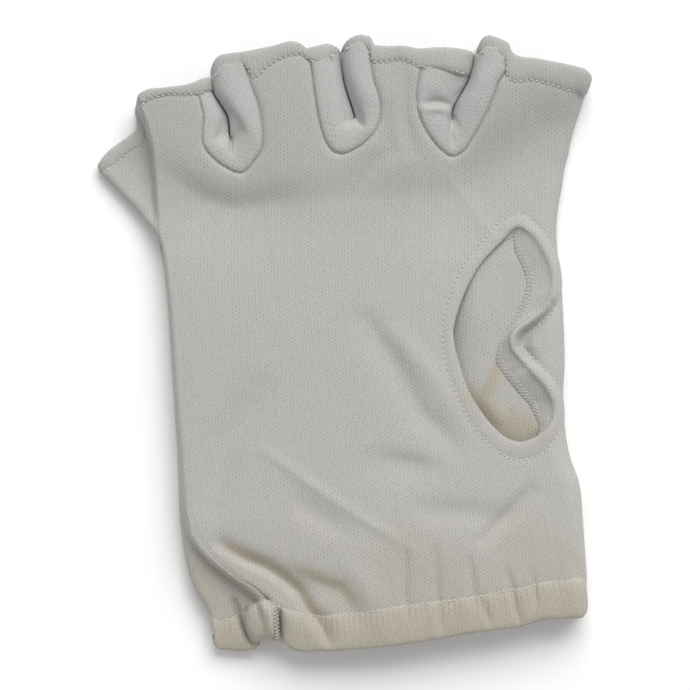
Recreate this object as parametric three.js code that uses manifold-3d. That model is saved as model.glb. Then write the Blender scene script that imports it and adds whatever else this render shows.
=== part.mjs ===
// Fingerless cotton glove for the right hand, lying on its back with the palm up.
// Millimetres. +X runs across the palm to the index side, +Y to the fingers, +Z up from the surface.
import * as THREE from 'three';
import { mergeVertices } from 'three/addons/utils/BufferGeometryUtils.js';
import Module from 'manifold-3d';

// Driving dimensions
const GLOVE_LENGTH = 148.3;
const HAND_WIDTH = 97;
const HAND_HEIGHT = 11.4;
const SIDE_ROLL = 5;
const CLOTH = 1.1;
const FINGER_HEM_WALL = 1.6;
const FINGER_HEM_DEPTH = 3.8;
const THUMB_HEM_WALL = 1.9;
const THUMB_HEM_DEPTH = 4.6;
const THUMB_RIM_LIFT = 1.5;
const CASING_WALL = 2;
const CASING_DEPTH = 7.4;
const SEAM_RADIUS = 1;
const GAP = 0.3;
const HEM_GAP = 0.5;

// Fineness of the meshes
const ROWS = 29;
const PALM_GRID = { columns: 21, rollColumns: 4 };
const BACK_GRID = { roll: 4, flat: 5, wrap: 6 };
const STRIP_GRID = { across: 8, along: 21 };
const RIM_STATIONS = { flat: 12, side: 5 };
const CUFF_STATIONS = { flat: 23, side: 5 };
const THUMB_STATIONS = 44;

// Plan and height of the hand, from the wrist to past the fingertips.
// y: hundredths of GLOVE_LENGTH. fold, seam, index: hundredths of HAND_WIDTH, for the fold on the
// little finger's side, the side seam and the fold on the index side. crown, edge: hundredths of
// HAND_HEIGHT, for the highest line of the palm and the middle of the folds.
const HAND = [
  { y: -52, fold: -32.7, seam: -16.1, index: 60.4, crown: 97, edge: 44 },
  { y: -44.2, fold: -32.9, seam: -17.2, index: 60.4, crown: 96, edge: 42 },
  { y: -39.6, fold: -36.6, seam: -23.8, index: 60.4, crown: 96, edge: 40 },
  { y: -34, fold: -39.4, seam: -32.6, index: 60.1, crown: 97, edge: 38 },
  { y: -23.5, fold: -40.8, seam: -37.8, index: 58.2, crown: 99, edge: 36 },
  { y: -13.8, fold: -41.8, seam: -38.9, index: 54.6, crown: 100, edge: 36 },
  { y: 4, fold: -43.3, seam: -40.6, index: 54.7, crown: 100, edge: 36 },
  { y: 15.4, fold: -45.5, seam: -42.6, index: 53.2, crown: 96, edge: 34 },
  { y: 21, fold: -50.7, seam: -45.5, index: 53.2, crown: 93, edge: 30 },
  { y: 25.9, fold: -57.2, seam: -46.2, index: 54.5, crown: 90, edge: 24 },
  { y: 29.4, fold: -61.8, seam: -46.8, index: 55.6, crown: 88, edge: 21 },
  { y: 35.6, fold: -69.8, seam: -48.3, index: 57.7, crown: 86, edge: 21 },
  { y: 40.5, fold: -74, seam: -49.8, index: 60, crown: 85, edge: 23 },
  { y: 54, fold: -78, seam: -54.2, index: 63.9, crown: 84, edge: 25 },
];

// Seams and lips of the strips between the fingers, down the left side, round the crotch and up the
// right side. x, y: the seam with the palm. lipX, lipY: the strip's innermost line at mid height.
// The x columns are hundredths of HAND_WIDTH, the y columns of GLOVE_LENGTH.
const CROTCHES = {
  fourchette_little_ring: [
    { x: -36.6, y: 54, lipX: -33.4, lipY: 54 },
    { x: -36.4, y: 40.9, lipX: -32.7, lipY: 41.6 },
    { x: -35.1, y: 36.7, lipX: -30, lipY: 37.7 },
    { x: -35.1, y: 32.7, lipX: -29.5, lipY: 35.1 },
    { x: -32.2, y: 29.9, lipX: -29, lipY: 33.7 },
    { x: -26.7, y: 27.8, lipX: -28, lipY: 32.8 },
    { x: -21.8, y: 29.3, lipX: -26.7, lipY: 33.7 },
    { x: -20, y: 32.4, lipX: -26, lipY: 35.4 },
    { x: -20, y: 36.7, lipX: -27.5, lipY: 37.7 },
    { x: -22, y: 41.6, lipX: -31.4, lipY: 41.6 },
    { x: -24.3, y: 54, lipX: -32.2, lipY: 54 },
  ],
  fourchette_ring_middle: [
    { x: -9.7, y: 56, lipX: -1.6, lipY: 56 },
    { x: -9.2, y: 47.7, lipX: -1.4, lipY: 47.7 },
    { x: -7.9, y: 42.9, lipX: -0.7, lipY: 42.9 },
    { x: -6.7, y: 37.7, lipX: 0.4, lipY: 39.6 },
    { x: -4.4, y: 33.4, lipX: 1, lipY: 37.9 },
    { x: -0.6, y: 30.9, lipX: 1.8, lipY: 36.9 },
    { x: 4.5, y: 31.2, lipX: 2.8, lipY: 36.9 },
    { x: 8.5, y: 33.6, lipX: 3.4, lipY: 37.9 },
    { x: 9.6, y: 37.7, lipX: 2.7, lipY: 40 },
    { x: 7.6, y: 42.9, lipX: 0.7, lipY: 42.9 },
    { x: 7.2, y: 47.7, lipX: -0.3, lipY: 47.7 },
    { x: 7.4, y: 56, lipX: -0.4, lipY: 56 },
  ],
  fourchette_middle_index: [
    { x: 18.8, y: 56, lipX: 32.2, lipY: 56 },
    { x: 18.6, y: 46.9, lipX: 31.7, lipY: 46.9 },
    { x: 17.9, y: 40.9, lipX: 29.3, lipY: 41.6 },
    { x: 19, y: 35.6, lipX: 26, lipY: 39 },
    { x: 22.3, y: 32.2, lipX: 25.4, lipY: 37.7 },
    { x: 26.7, y: 30.4, lipX: 26.4, lipY: 36.9 },
    { x: 31.2, y: 32.2, lipX: 27.5, lipY: 37.7 },
    { x: 34.4, y: 35.8, lipX: 28.2, lipY: 39 },
    { x: 37.6, y: 40.9, lipX: 30.9, lipY: 41.3 },
    { x: 40.8, y: 46.4, lipX: 32.9, lipY: 46.8 },
    { x: 42.1, y: 56, lipX: 33.5, lipY: 56 },
  ],
};

// Cut ends of the fingers from the left lip to the right lip, in hundredths of HAND_WIDTH and
// GLOVE_LENGTH. left, right: width of the side that rolls under, in hundredths of HAND_WIDTH.
const FINGER_ENDS = {
  finger_hem_little: {
    left: 3.6,
    right: 3.7,
    line: [
      { x: -61.7, y: 29.4 },
      { x: -57.7, y: 31.9 },
      { x: -53, y: 34 },
      { x: -50.8, y: 37.2 },
      { x: -48.4, y: 40.3 },
      { x: -43.5, y: 41.4 },
      { x: -38.1, y: 42.1 },
      { x: -32.9, y: 42.6 },
    ],
  },
  finger_hem_ring: {
    left: 9,
    right: 8,
    line: [
      { x: -32.3, y: 45.8 },
      { x: -28.2, y: 46.6 },
      { x: -21.5, y: 47.3 },
      { x: -13, y: 48.2 },
      { x: -7, y: 48.3 },
      { x: -1.4, y: 48 },
    ],
  },
  finger_hem_middle: {
    left: 7.6,
    right: 13,
    line: [
      { x: -0.3, y: 48.4 },
      { x: 1.8, y: 49.6 },
      { x: 4.8, y: 49.9 },
      { x: 7.6, y: 48.8 },
      { x: 13.9, y: 48.2 },
      { x: 21.3, y: 47.9 },
      { x: 31.7, y: 47.4 },
    ],
  },
  finger_hem_index: {
    left: 8,
    right: 5,
    line: [
      { x: 33, y: 48.6 },
      { x: 36, y: 49.4 },
      { x: 39.5, y: 48.5 },
      { x: 43, y: 47.1 },
      { x: 48.5, y: 46.2 },
      { x: 55.9, y: 45 },
      { x: 61.6, y: 43.9 },
    ],
  },
};

// Edge of the wrist casing from the index side to the little finger's side, in the same shares.
const WRIST_EDGE = {
  left: 5,
  right: 5,
  line: [
    { x: 60.4, y: -43.6 },
    { x: 51, y: -44.3 },
    { x: 39.9, y: -45.8 },
    { x: 25, y: -47.2 },
    { x: 10.1, y: -48.5 },
    { x: -4, y: -49.5 },
    { x: -12, y: -49.2 },
    { x: -18.5, y: -47.6 },
    { x: -24, y: -49.2 },
    { x: -29, y: -49.9 },
    { x: -32.7, y: -48.5 },
  ],
};

// Rim of the thumb hole, anticlockwise from the top. x, y: shares as above. turn: degrees that the
// facing turns down from lying under the palm. lift: share of THUMB_RIM_LIFT.
const THUMB_RIM = [
  { x: 43.3, y: 19.3, turn: 80, lift: 1 },
  { x: 39.6, y: 17.2, turn: 30, lift: 0.5 },
  { x: 35.7, y: 14.2, turn: 10, lift: 0.1 },
  { x: 31.4, y: 10.7, turn: 5, lift: 0 },
  { x: 28, y: 6.5, turn: 0, lift: 0 },
  { x: 26.6, y: 1.5, turn: 0, lift: 0 },
  { x: 28.5, y: -3.9, turn: 0, lift: 0 },
  { x: 31.9, y: -8.9, turn: 5, lift: 0 },
  { x: 36.6, y: -13.3, turn: 5, lift: 0 },
  { x: 41.6, y: -15.7, turn: 10, lift: 0 },
  { x: 46, y: -16, turn: 25, lift: 0.3 },
  { x: 49.4, y: -13.9, turn: 70, lift: 0.7 },
  { x: 50.4, y: -10.6, turn: 110, lift: 1 },
  { x: 48, y: -6.5, turn: 125, lift: 1 },
  { x: 44.3, y: -3.1, turn: 125, lift: 1 },
  { x: 42.1, y: -0.3, turn: 120, lift: 1 },
  { x: 43.8, y: 2.4, turn: 120, lift: 1 },
  { x: 47.2, y: 5, turn: 125, lift: 1 },
  { x: 49.6, y: 8.6, turn: 125, lift: 1 },
  { x: 49.6, y: 13, turn: 120, lift: 1 },
  { x: 47.2, y: 17, turn: 110, lift: 1 },
];

// Main folds and dents of the palm, each along a line. x1, y1, x2, y2: shares as above. width:
// hundredths of HAND_WIDTH. rise: hundredths of HAND_HEIGHT, below zero for a dent.
const FOLDS = [
  { x1: -30, y1: -33, x2: -10, y2: -41, width: 3.6, rise: -14 },
  { x1: -21, y1: -16, x2: 16, y2: -32.5, width: 3.4, rise: 8 },
  { x1: -14, y1: -23, x2: 0, y2: -29.5, width: 3.4, rise: -9 },
  { x1: 12, y1: -17.8, x2: 19, y2: -19, width: 3.6, rise: -8 },
  { x1: 34, y1: -31.5, x2: 45, y2: -23.5, width: 3.8, rise: -12 },
  { x1: 26, y1: -25, x2: 30, y2: -27.5, width: 3.8, rise: -8 },
  { x1: 56, y1: -34, x2: 59, y2: -38, width: 3.4, rise: -9 },
  { x1: 19, y1: -12, x2: 26, y2: -16.5, width: 3.2, rise: -8 },
  { x1: 21, y1: 0, x2: 25, y2: -3, width: 3.2, rise: 6 },
  { x1: 15, y1: -40.5, x2: 15, y2: -45, width: 2.6, rise: -7 },
  { x1: 31, y1: -38, x2: 31.5, y2: -41, width: 2.6, rise: -7 },
  { x1: 41, y1: -38.5, x2: 43, y2: -44, width: 2.6, rise: -8 },
];
const VALLEY = { width: 9.4, rise: -26, reach: 17 };
const SEAM_HEIGHT_SHARE = 0.84;
const SEAM_SINK = 0.55;

const wasm = await Module();
wasm.setup();

// Small helpers
const acrossHand = (share) => (share * HAND_WIDTH) / 100;
const alongGlove = (share) => (share * GLOVE_LENGTH) / 100;
const upFromSurface = (share) => (share * HAND_HEIGHT) / 100;
const clamp = THREE.MathUtils.clamp;
const lerp = THREE.MathUtils.lerp;
const flat = (row) => new THREE.Vector3(acrossHand(row.x), alongGlove(row.y), 0);

function steps(count) {
  return Array.from({ length: count }, (_, i) => i / (count - 1));
}

function slopeAt(table, key, i) {
  const before = table[Math.max(i - 1, 0)];
  const after = table[Math.min(i + 1, table.length - 1)];
  return (after[key] - before[key]) / (after.y - before.y);
}

// Smooth value of one column of a table at the share y of the length.
function columnAt(table, key, y) {
  const share = clamp(y, table[0].y, table[table.length - 1].y);
  let i = 0;
  while (i < table.length - 2 && table[i + 1].y < share) {
    i += 1;
  }
  const span = table[i + 1].y - table[i].y;
  const t = (share - table[i].y) / span;
  const start = table[i][key] * (2 * t ** 3 - 3 * t ** 2 + 1);
  const end = table[i + 1][key] * (3 * t ** 2 - 2 * t ** 3);
  const startSlope = slopeAt(table, key, i) * span * (t ** 3 - 2 * t ** 2 + t);
  const endSlope = slopeAt(table, key, i + 1) * span * (t ** 3 - t ** 2);
  return start + end + startSlope + endSlope;
}

// Plan and heights of the section at y.
function sectionAt(y) {
  const share = (100 * y) / GLOVE_LENGTH;
  return {
    fold: acrossHand(columnAt(HAND, 'fold', share)),
    seam: acrossHand(columnAt(HAND, 'seam', share)),
    index: acrossHand(columnAt(HAND, 'index', share)),
    crown: upFromSurface(columnAt(HAND, 'crown', share)),
    edge: upFromSurface(columnAt(HAND, 'edge', share)),
  };
}

function bump(x, y, fold) {
  const start = new THREE.Vector2(acrossHand(fold.x1), alongGlove(fold.y1));
  const run = new THREE.Vector2(acrossHand(fold.x2), alongGlove(fold.y2)).sub(start);
  const offset = new THREE.Vector2(x, y).sub(start);
  const t = clamp(offset.dot(run) / run.lengthSq(), 0, 1);
  const distance = offset.sub(run.multiplyScalar(t)).length() / acrossHand(fold.width);
  return upFromSurface(fold.rise) * Math.exp(-(distance ** 2));
}

// Dip of the palm below and beside a crotch.
function valley(x, y, rows) {
  const tip = rows.reduce((low, row) => (row.y < low.y ? row : low));
  const rise = THREE.MathUtils.smoothstep(y, alongGlove(tip.y - VALLEY.reach), alongGlove(tip.y));
  const top = (acrossHand(rows[0].x) + acrossHand(rows[rows.length - 1].x)) / 2;
  const way = clamp((y - alongGlove(tip.y)) / alongGlove(rows[0].y - tip.y), 0, 1);
  const middle = lerp(acrossHand(tip.x), top, way);
  const distance = (x - middle) / acrossHand(VALLEY.width);
  return rise * upFromSurface(VALLEY.rise) * Math.exp(-(distance ** 2));
}

// Height of the upper cloth's outer face above the surface.
function upperHeight(x, y) {
  const section = sectionAt(y);
  const seamHeight = section.crown * SEAM_HEIGHT_SHARE;
  if (x < section.seam) {
    const out = clamp((section.seam - x) / (section.seam - section.fold), 0, 1);
    return section.edge + (seamHeight - section.edge) * Math.sqrt(1 - out ** 2);
  }
  const share = clamp((x - section.seam) / (section.index - section.seam), 0, 1);
  const arch = lerp(seamHeight, section.crown, Math.sin(Math.PI * share) ** 0.7);
  const dips = Object.values(CROTCHES).reduce((sum, rows) => sum + valley(x, y, rows), 0);
  const folds = FOLDS.reduce((sum, fold) => sum + bump(x, y, fold), 0);
  const inFromSeam = THREE.MathUtils.smoothstep(x - section.seam, 0, SIDE_ROLL);
  const top = arch + (dips + folds) * inFromSeam;
  const out = clamp((x - section.index + SIDE_ROLL) / SIDE_ROLL, 0, 1);
  return section.edge + (top - section.edge) * Math.sqrt(1 - out ** 2);
}

function upperPoint(x, y) {
  return new THREE.Vector3(x, y, upperHeight(x, y));
}

function upperNormal(x, y) {
  const step = 0.5;
  const slopeX = (upperHeight(x + step, y) - upperHeight(x - step, y)) / (2 * step);
  const slopeY = (upperHeight(x, y + step) - upperHeight(x, y - step)) / (2 * step);
  return new THREE.Vector3(-slopeX, -slopeY, 1).normalize();
}

// One closed body from its corners and its four-sided and three-sided faces, faces outwards.
function body(corners, faces) {
  const positions = corners.flatMap((corner) => corner.toArray());
  const triangles = faces.flatMap(([a, b, c, d]) => (d === undefined ? [a, b, c] : [a, b, c, a, c, d]));
  const geometry = new THREE.BufferGeometry();
  geometry.setAttribute('position', new THREE.Float32BufferAttribute(positions, 3));
  geometry.setIndex(triangles);
  let volume = 0;
  for (let i = 0; i < triangles.length; i += 3) {
    const [a, b, c] = [0, 1, 2].map((k) => corners[triangles[i + k]]);
    volume += a.dot(b.clone().cross(c));
  }
  if (volume < 0) {
    geometry.setIndex(triangles.reverse());
  }
  return geometry;
}

// Cloth of even wall below an outer face given as a function of two shares.
function sheet(face, columns, rows, wall) {
  const outer = [];
  const inner = [];
  const nudge = 0.002;
  for (const r of rows) {
    for (const c of columns) {
      const point = face(c, r);
      const alongC = face(Math.min(c + nudge, 1), r).sub(face(Math.max(c - nudge, 0), r));
      const alongR = face(c, Math.min(r + nudge, 1)).sub(face(c, Math.max(r - nudge, 0)));
      const normal = alongC.cross(alongR).normalize();
      outer.push(point);
      inner.push(point.clone().addScaledVector(normal, -wall));
    }
  }
  const width = columns.length;
  const depth = rows.length;
  const under = outer.length;
  const faces = [];
  for (let r = 0; r < depth - 1; r += 1) {
    for (let c = 0; c < width - 1; c += 1) {
      const a = r * width + c;
      faces.push([a, a + 1, a + width + 1, a + width]);
      faces.push([under + a, under + a + width, under + a + width + 1, under + a + 1]);
    }
  }
  for (let r = 0; r < depth - 1; r += 1) {
    const left = r * width;
    const right = left + width - 1;
    faces.push([left, left + width, under + left + width, under + left]);
    faces.push([right, under + right, under + right + width, right + width]);
  }
  for (let c = 0; c < width - 1; c += 1) {
    const far = (depth - 1) * width + c;
    faces.push([c, under + c, under + c + 1, c + 1]);
    faces.push([far, far + 1, under + far + 1, under + far]);
  }
  return body([...outer, ...inner], faces);
}

// Closed ring of turned cloth along stations with a place, an outward normal and an inward way.
function band(stations, depth, wall) {
  const turned = wall * 0.35;
  const profile = [
    [0, turned],
    [turned, 0],
    [depth, 0],
    [depth, wall],
    [turned, wall],
    [0, wall - turned],
  ];
  const corners = stations.flatMap(({ place, normal, inward }) =>
    profile.map(([along, below]) =>
      place.clone().addScaledVector(inward, along).addScaledVector(normal, -below)));
  const sides = profile.length;
  const faces = [];
  for (let i = 0; i < stations.length; i += 1) {
    const next = (i + 1) % stations.length;
    for (let k = 0; k < sides; k += 1) {
      const up = (k + 1) % sides;
      faces.push([i * sides + k, next * sides + k, next * sides + up, i * sides + up]);
    }
  }
  return body(corners, faces);
}

// Gives each station of a closed loop the way into the cloth, square to the loop and its normal.
function withInward(stations) {
  return stations.map((station, i) => {
    const before = stations[(i + stations.length - 1) % stations.length].place;
    const after = stations[(i + 1) % stations.length].place;
    const inward = after.clone().sub(before).cross(station.normal).normalize();
    return { ...station, inward };
  });
}

// Loop round a flattened tube along its cut edge: over the top, down one side, under and up again.
function rimLoop(end, counts) {
  const line = new THREE.CatmullRomCurve3(end.line.map(flat), false, 'catmullrom', 0.4);
  const length = line.getLength();
  const startRoll = acrossHand(end.left) / length;
  const endRoll = acrossHand(end.right) / length;
  const place = (share) => line.getPointAt(clamp(share, 0, 1));
  const lifted = (share) => {
    const point = place(share);
    return upperPoint(point.x, point.y);
  };
  const side = (rollShare, edgeShare, w) => {
    const top = lifted(edgeShare);
    const out = Math.sin(Math.PI * w);
    const point = place(edgeShare + rollShare * out);
    const lip = place(edgeShare + rollShare);
    const reach = lip.clone().sub(place(edgeShare));
    const normal = reach.clone().normalize().multiplyScalar(out / reach.length());
    normal.z = Math.cos(Math.PI * w) / (top.z / 2);
    point.z = (top.z / 2) * (1 + Math.cos(Math.PI * w));
    return { place: point, normal: normal.normalize(), lip: w > 0.49 && w < 0.51 };
  };
  const over = steps(counts.flat).map((t) => {
    const point = lifted(lerp(startRoll, 1 - endRoll, t));
    return { place: point, normal: upperNormal(point.x, point.y), upper: true };
  });
  const turns = steps(counts.side * 2 - 1).slice(1, -1);
  const far = turns.map((w) => side(endRoll, 1 - endRoll, w));
  const under = steps(counts.flat).map((t) => {
    const point = place(lerp(1 - endRoll, startRoll, t));
    return { place: point, normal: new THREE.Vector3(0, 0, -1) };
  });
  const near = turns.map((w) => side(-startRoll, startRoll, 1 - w));
  const loop = withInward([...over, ...far, ...under, ...near]);
  const nearLip = loop.slice(-turns.length).find((station) => station.lip);
  const farLip = loop.slice(over.length, over.length + turns.length).find((station) => station.lip);
  const seen = loop.filter((station) => station.upper);
  return { loop, edge: [nearLip, ...seen, farLip] };
}

// Solids for joining and cutting
function solid(geometry) {
  const plain = geometry.clone();
  plain.deleteAttribute('normal');
  plain.deleteAttribute('uv');
  const merged = mergeVertices(plain, 1e-5);
  return new wasm.Manifold(new wasm.Mesh({
    numProp: 3,
    vertProperties: new Float32Array(merged.attributes.position.array),
    triVerts: new Uint32Array(merged.index.array),
  }));
}

function geometryOf(manifold) {
  const mesh = manifold.getMesh();
  const geometry = new THREE.BufferGeometry();
  geometry.setAttribute('position', new THREE.BufferAttribute(new Float32Array(mesh.vertProperties), 3));
  geometry.setIndex(new THREE.BufferAttribute(new Uint32Array(mesh.triVerts), 1));
  return geometry;
}

// Upright prism over a plan, without the points that nearly coincide.
function upright(points) {
  const plan = points.map((point) => new THREE.Vector2(point.x, point.y));
  const kept = plan.filter((point, i) => point.distanceTo(plan[(i + 1) % plan.length]) > GAP / 20);
  const shape = new THREE.Shape(kept);
  const reach = HAND_HEIGHT * 3;
  const geometry = new THREE.ExtrudeGeometry(shape, { depth: reach, bevelEnabled: false });
  geometry.translate(0, 0, -HAND_HEIGHT);
  return solid(geometry);
}

// Middle of the slit between two fingers, as a function of y.
function slitAt(rows, y) {
  const pairs = [0, 1, 2].map((i) => [rows[i], rows[rows.length - 1 - i]]);
  const middles = pairs.map(([a, b]) => ({ x: (a.lipX + b.lipX) / 2, y: (a.lipY + b.lipY) / 2 }));
  const share = clamp((100 * y) / GLOVE_LENGTH, middles[2].y, middles[0].y);
  const i = share > middles[1].y ? 0 : 1;
  const t = (share - middles[i + 1].y) / (middles[i].y - middles[i + 1].y);
  return acrossHand(lerp(middles[i + 1].x, middles[i].x, t));
}

// Plan of one finger's share of the hand, between the slits beside it.
function lane(leftSlit, rightSlit) {
  const far = GLOVE_LENGTH * 2;
  const side = (rows, outer) => {
    if (!rows) {
      return [{ x: outer, y: -far }, { x: outer, y: far }];
    }
    const low = Math.min(...rows.map((row) => row.lipY));
    const heights = steps(9).map((t) => alongGlove(lerp(low, rows[0].lipY, t)));
    const points = heights.map((y) => ({ x: slitAt(rows, y), y }));
    return [{ x: points[0].x, y: -far }, ...points, { x: points[points.length - 1].x, y: far }];
  };
  return upright([...side(leftSlit, -far), ...side(rightSlit, far).reverse()]);
}

// What a hem takes the place of: from its inner line outwards past the cut edge.
function hemZone(edge, depth, within) {
  const inner = edge.map(({ place, inward }) => place.clone().addScaledVector(inward, depth + HEM_GAP));
  const middle = inner[Math.floor(inner.length / 2)];
  const past = (end) => ({ x: end.x + Math.sign(end.x - middle.x) * HAND_WIDTH, y: end.y });
  const line = [past(inner[0]), ...inner, past(inner[inner.length - 1])];
  const beyond = -Math.sign(edge[1].inward.y) * GLOVE_LENGTH;
  const lap = GAP / 10;
  const cells = line.slice(1).map((point, i) => {
    const [a, b] = [line[i], point].sort((p, q) => p.x - q.x);
    const [left, right] = [a.x - lap, b.x + lap];
    return upright([{ x: left, y: a.y }, { x: right, y: b.y }, { x: right, y: beyond }, { x: left, y: beyond }]);
  });
  return wasm.Manifold.union(cells).intersect(within);
}

// Sheets of the panels, strips and seam, whole
function wholePalm() {
  const flatShare = 1 - PALM_GRID.rollColumns / PALM_GRID.columns;
  const face = (c, r) => {
    const y = alongGlove(lerp(HAND[0].y, HAND[HAND.length - 1].y, r));
    const section = sectionAt(y);
    const start = section.seam + SEAM_RADIUS + GAP;
    const rollStart = section.index - SIDE_ROLL;
    if (c <= flatShare) {
      const x = lerp(start, rollStart, c / flatShare);
      return upperPoint(x, y);
    }
    const clear = GAP / 2 / (section.crown * SEAM_HEIGHT_SHARE - section.edge);
    const angle = ((c - flatShare) / (1 - flatShare)) * Math.acos(clear);
    return upperPoint(rollStart + SIDE_ROLL * Math.sin(angle), y);
  };
  return sheet(face, steps(PALM_GRID.columns + 1), steps(ROWS), CLOTH);
}

function wholeBack() {
  const total = BACK_GRID.roll * 2 + BACK_GRID.flat + BACK_GRID.wrap;
  const quarter = Math.PI / 2;
  const face = (c, r) => {
    const y = alongGlove(lerp(HAND[0].y, HAND[HAND.length - 1].y, r));
    const { fold, seam, index, crown, edge } = sectionAt(y);
    const at = c * total;
    const foldRoll = SIDE_ROLL * 0.7;
    if (at <= BACK_GRID.roll) {
      const start = Math.asin(GAP / 2 / edge);
      const angle = lerp(start, quarter, at / BACK_GRID.roll);
      return new THREE.Vector3(index - SIDE_ROLL * (1 - Math.cos(angle)), y, edge * (1 - Math.sin(angle)));
    }
    if (at <= BACK_GRID.roll + BACK_GRID.flat) {
      const share = (at - BACK_GRID.roll) / BACK_GRID.flat;
      return new THREE.Vector3(lerp(index - SIDE_ROLL, fold + foldRoll, share), y, 0);
    }
    if (at <= BACK_GRID.roll * 2 + BACK_GRID.flat) {
      const angle = ((at - BACK_GRID.roll - BACK_GRID.flat) / BACK_GRID.roll) * quarter;
      return new THREE.Vector3(fold + foldRoll * (1 - Math.sin(angle)), y, edge * (1 - Math.cos(angle)));
    }
    const wide = seam - fold;
    const high = crown * SEAM_HEIGHT_SHARE - edge;
    const clear = SEAM_RADIUS + GAP * 1.5;
    let stop = quarter;
    const sunk = SEAM_RADIUS * SEAM_SINK;
    while (Math.hypot(wide * Math.cos(stop), high * (1 - Math.sin(stop)) - sunk) < clear) {
      stop -= 0.01;
    }
    const angle = ((at - BACK_GRID.roll * 2 - BACK_GRID.flat) / BACK_GRID.wrap) * stop;
    return new THREE.Vector3(seam - wide * Math.cos(angle), y, edge + high * Math.sin(angle));
  };
  return sheet(face, steps(total + 1), steps(ROWS), CLOTH);
}

// Strip between two fingers: a half ellipse from the palm's edge in to the lip and down to the back.
function wholeStrip(rows) {
  const seamLine = new THREE.CatmullRomCurve3(rows.map(flat), false, 'catmullrom', 0.5);
  const lips = rows.map((row) => flat({ x: row.lipX, y: row.lipY }));
  const lipLine = new THREE.CatmullRomCurve3(lips, false, 'catmullrom', 0.5);
  const face = (c, r) => {
    const edge = seamLine.getPoint(1 - r);
    const lip = lipLine.getPoint(1 - r);
    const toLip = lip.sub(edge);
    const start = edge.add(toLip.clone().setLength(GAP));
    const high = upperHeight(start.x, start.y);
    start.addScaledVector(toLip, Math.sin(Math.PI * c));
    start.z = (high / 2) * (1 + Math.cos(Math.PI * c));
    return start;
  };
  return sheet(face, steps(STRIP_GRID.across), steps(STRIP_GRID.along), CLOTH);
}

function notch(rows) {
  const seamLine = new THREE.CatmullRomCurve3(rows.map(flat), false, 'catmullrom', 0.5);
  return upright(seamLine.getPoints((STRIP_GRID.along - 1) * 2));
}

function wholeSeam() {
  const face = (angle, y) => {
    const section = sectionAt(y);
    const middle = section.crown * SEAM_HEIGHT_SHARE - SEAM_RADIUS * SEAM_SINK;
    const out = SEAM_RADIUS * Math.cos(angle);
    return new THREE.Vector3(section.seam + out, y, middle + SEAM_RADIUS * Math.sin(angle));
  };
  const sides = 6;
  const corners = [];
  const faces = [];
  const rows = steps(ROWS);
  rows.forEach((r, i) => {
    const y = alongGlove(lerp(HAND[0].y, HAND[HAND.length - 1].y, r));
    for (let k = 0; k < sides; k += 1) {
      corners.push(face((k / sides) * 2 * Math.PI, y));
      if (i > 0) {
        const next = (k + 1) % sides;
        faces.push([(i - 1) * sides + k, (i - 1) * sides + next, i * sides + next, i * sides + k]);
      }
    }
  });
  const last = (rows.length - 1) * sides;
  for (let k = 1; k < sides - 1; k += 1) {
    faces.push([0, k + 1, k]);
    faces.push([last, last + k, last + k + 1]);
  }
  return body(corners, faces);
}

// Thumb hole: its rim with the facing, and the plan that the palm leaves open
function thumbStations() {
  const rim = new THREE.CatmullRomCurve3(THUMB_RIM.map(flat), true, 'catmullrom', 0.5);
  const looks = THUMB_RIM.map((row) => new THREE.Vector3(row.turn, row.lift, 0));
  const look = new THREE.CatmullRomCurve3(looks, true, 'catmullrom', 0.5);
  return steps(THUMB_STATIONS + 1).slice(0, -1).map((t) => {
    const point = rim.getPoint(t);
    const along = rim.getTangent(t);
    const away = new THREE.Vector3(-along.y, along.x, 0).normalize().multiplyScalar(-1);
    const { x: degrees, y: lift } = look.getPoint(t);
    const turn = THREE.MathUtils.degToRad(degrees);
    const up = new THREE.Vector3(0, 0, 1);
    const place = upperPoint(point.x, point.y).addScaledVector(up, THUMB_RIM_LIFT * lift);
    const inward = away.clone().multiplyScalar(Math.cos(turn)).addScaledVector(up, -Math.sin(turn));
    const normal = away.clone().multiplyScalar(Math.sin(turn)).addScaledVector(up, Math.cos(turn));
    const room = GAP + THUMB_HEM_DEPTH * Math.max(Math.cos(turn), 0);
    return { place, normal, inward, cut: place.clone().addScaledVector(away, room) };
  });
}

// Colours of the cloth
const COLOURS = {
  cloth: 0xb6b5b1,
  strip: 0xb0afab,
  hem: 0xbab9b4,
  casing: 0xb9b4a8,
  seam: 0xaeada8,
};

function cotton(colour) {
  return new THREE.MeshStandardMaterial({ color: COLOURS[colour], roughness: 0.92, metalness: 0 });
}

const glove = new THREE.Group();

function add(name, geometry, colour) {
  const mesh = new THREE.Mesh(geometry, cotton(colour));
  mesh.name = name;
  glove.add(mesh);
}

// Assembly
const slits = Object.values(CROTCHES);
const fingerRims = Object.entries(FINGER_ENDS).map(([name, end]) => [name, rimLoop(end, RIM_STATIONS)]);
const wristRim = rimLoop(WRIST_EDGE, CUFF_STATIONS);
const fingerZones = fingerRims.map(([, rim], i) =>
  hemZone(rim.edge, FINGER_HEM_DEPTH, lane(slits[i - 1], slits[i])));
const wristZone = hemZone(wristRim.edge, CASING_DEPTH, lane());
const thumb = thumbStations();
const thumbCut = upright(thumb.map(({ cut }) => cut));
const notches = slits.map(notch);
const ends = wasm.Manifold.union([...fingerZones, wristZone]);
const openings = wasm.Manifold.union([ends, ...notches]);

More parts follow.
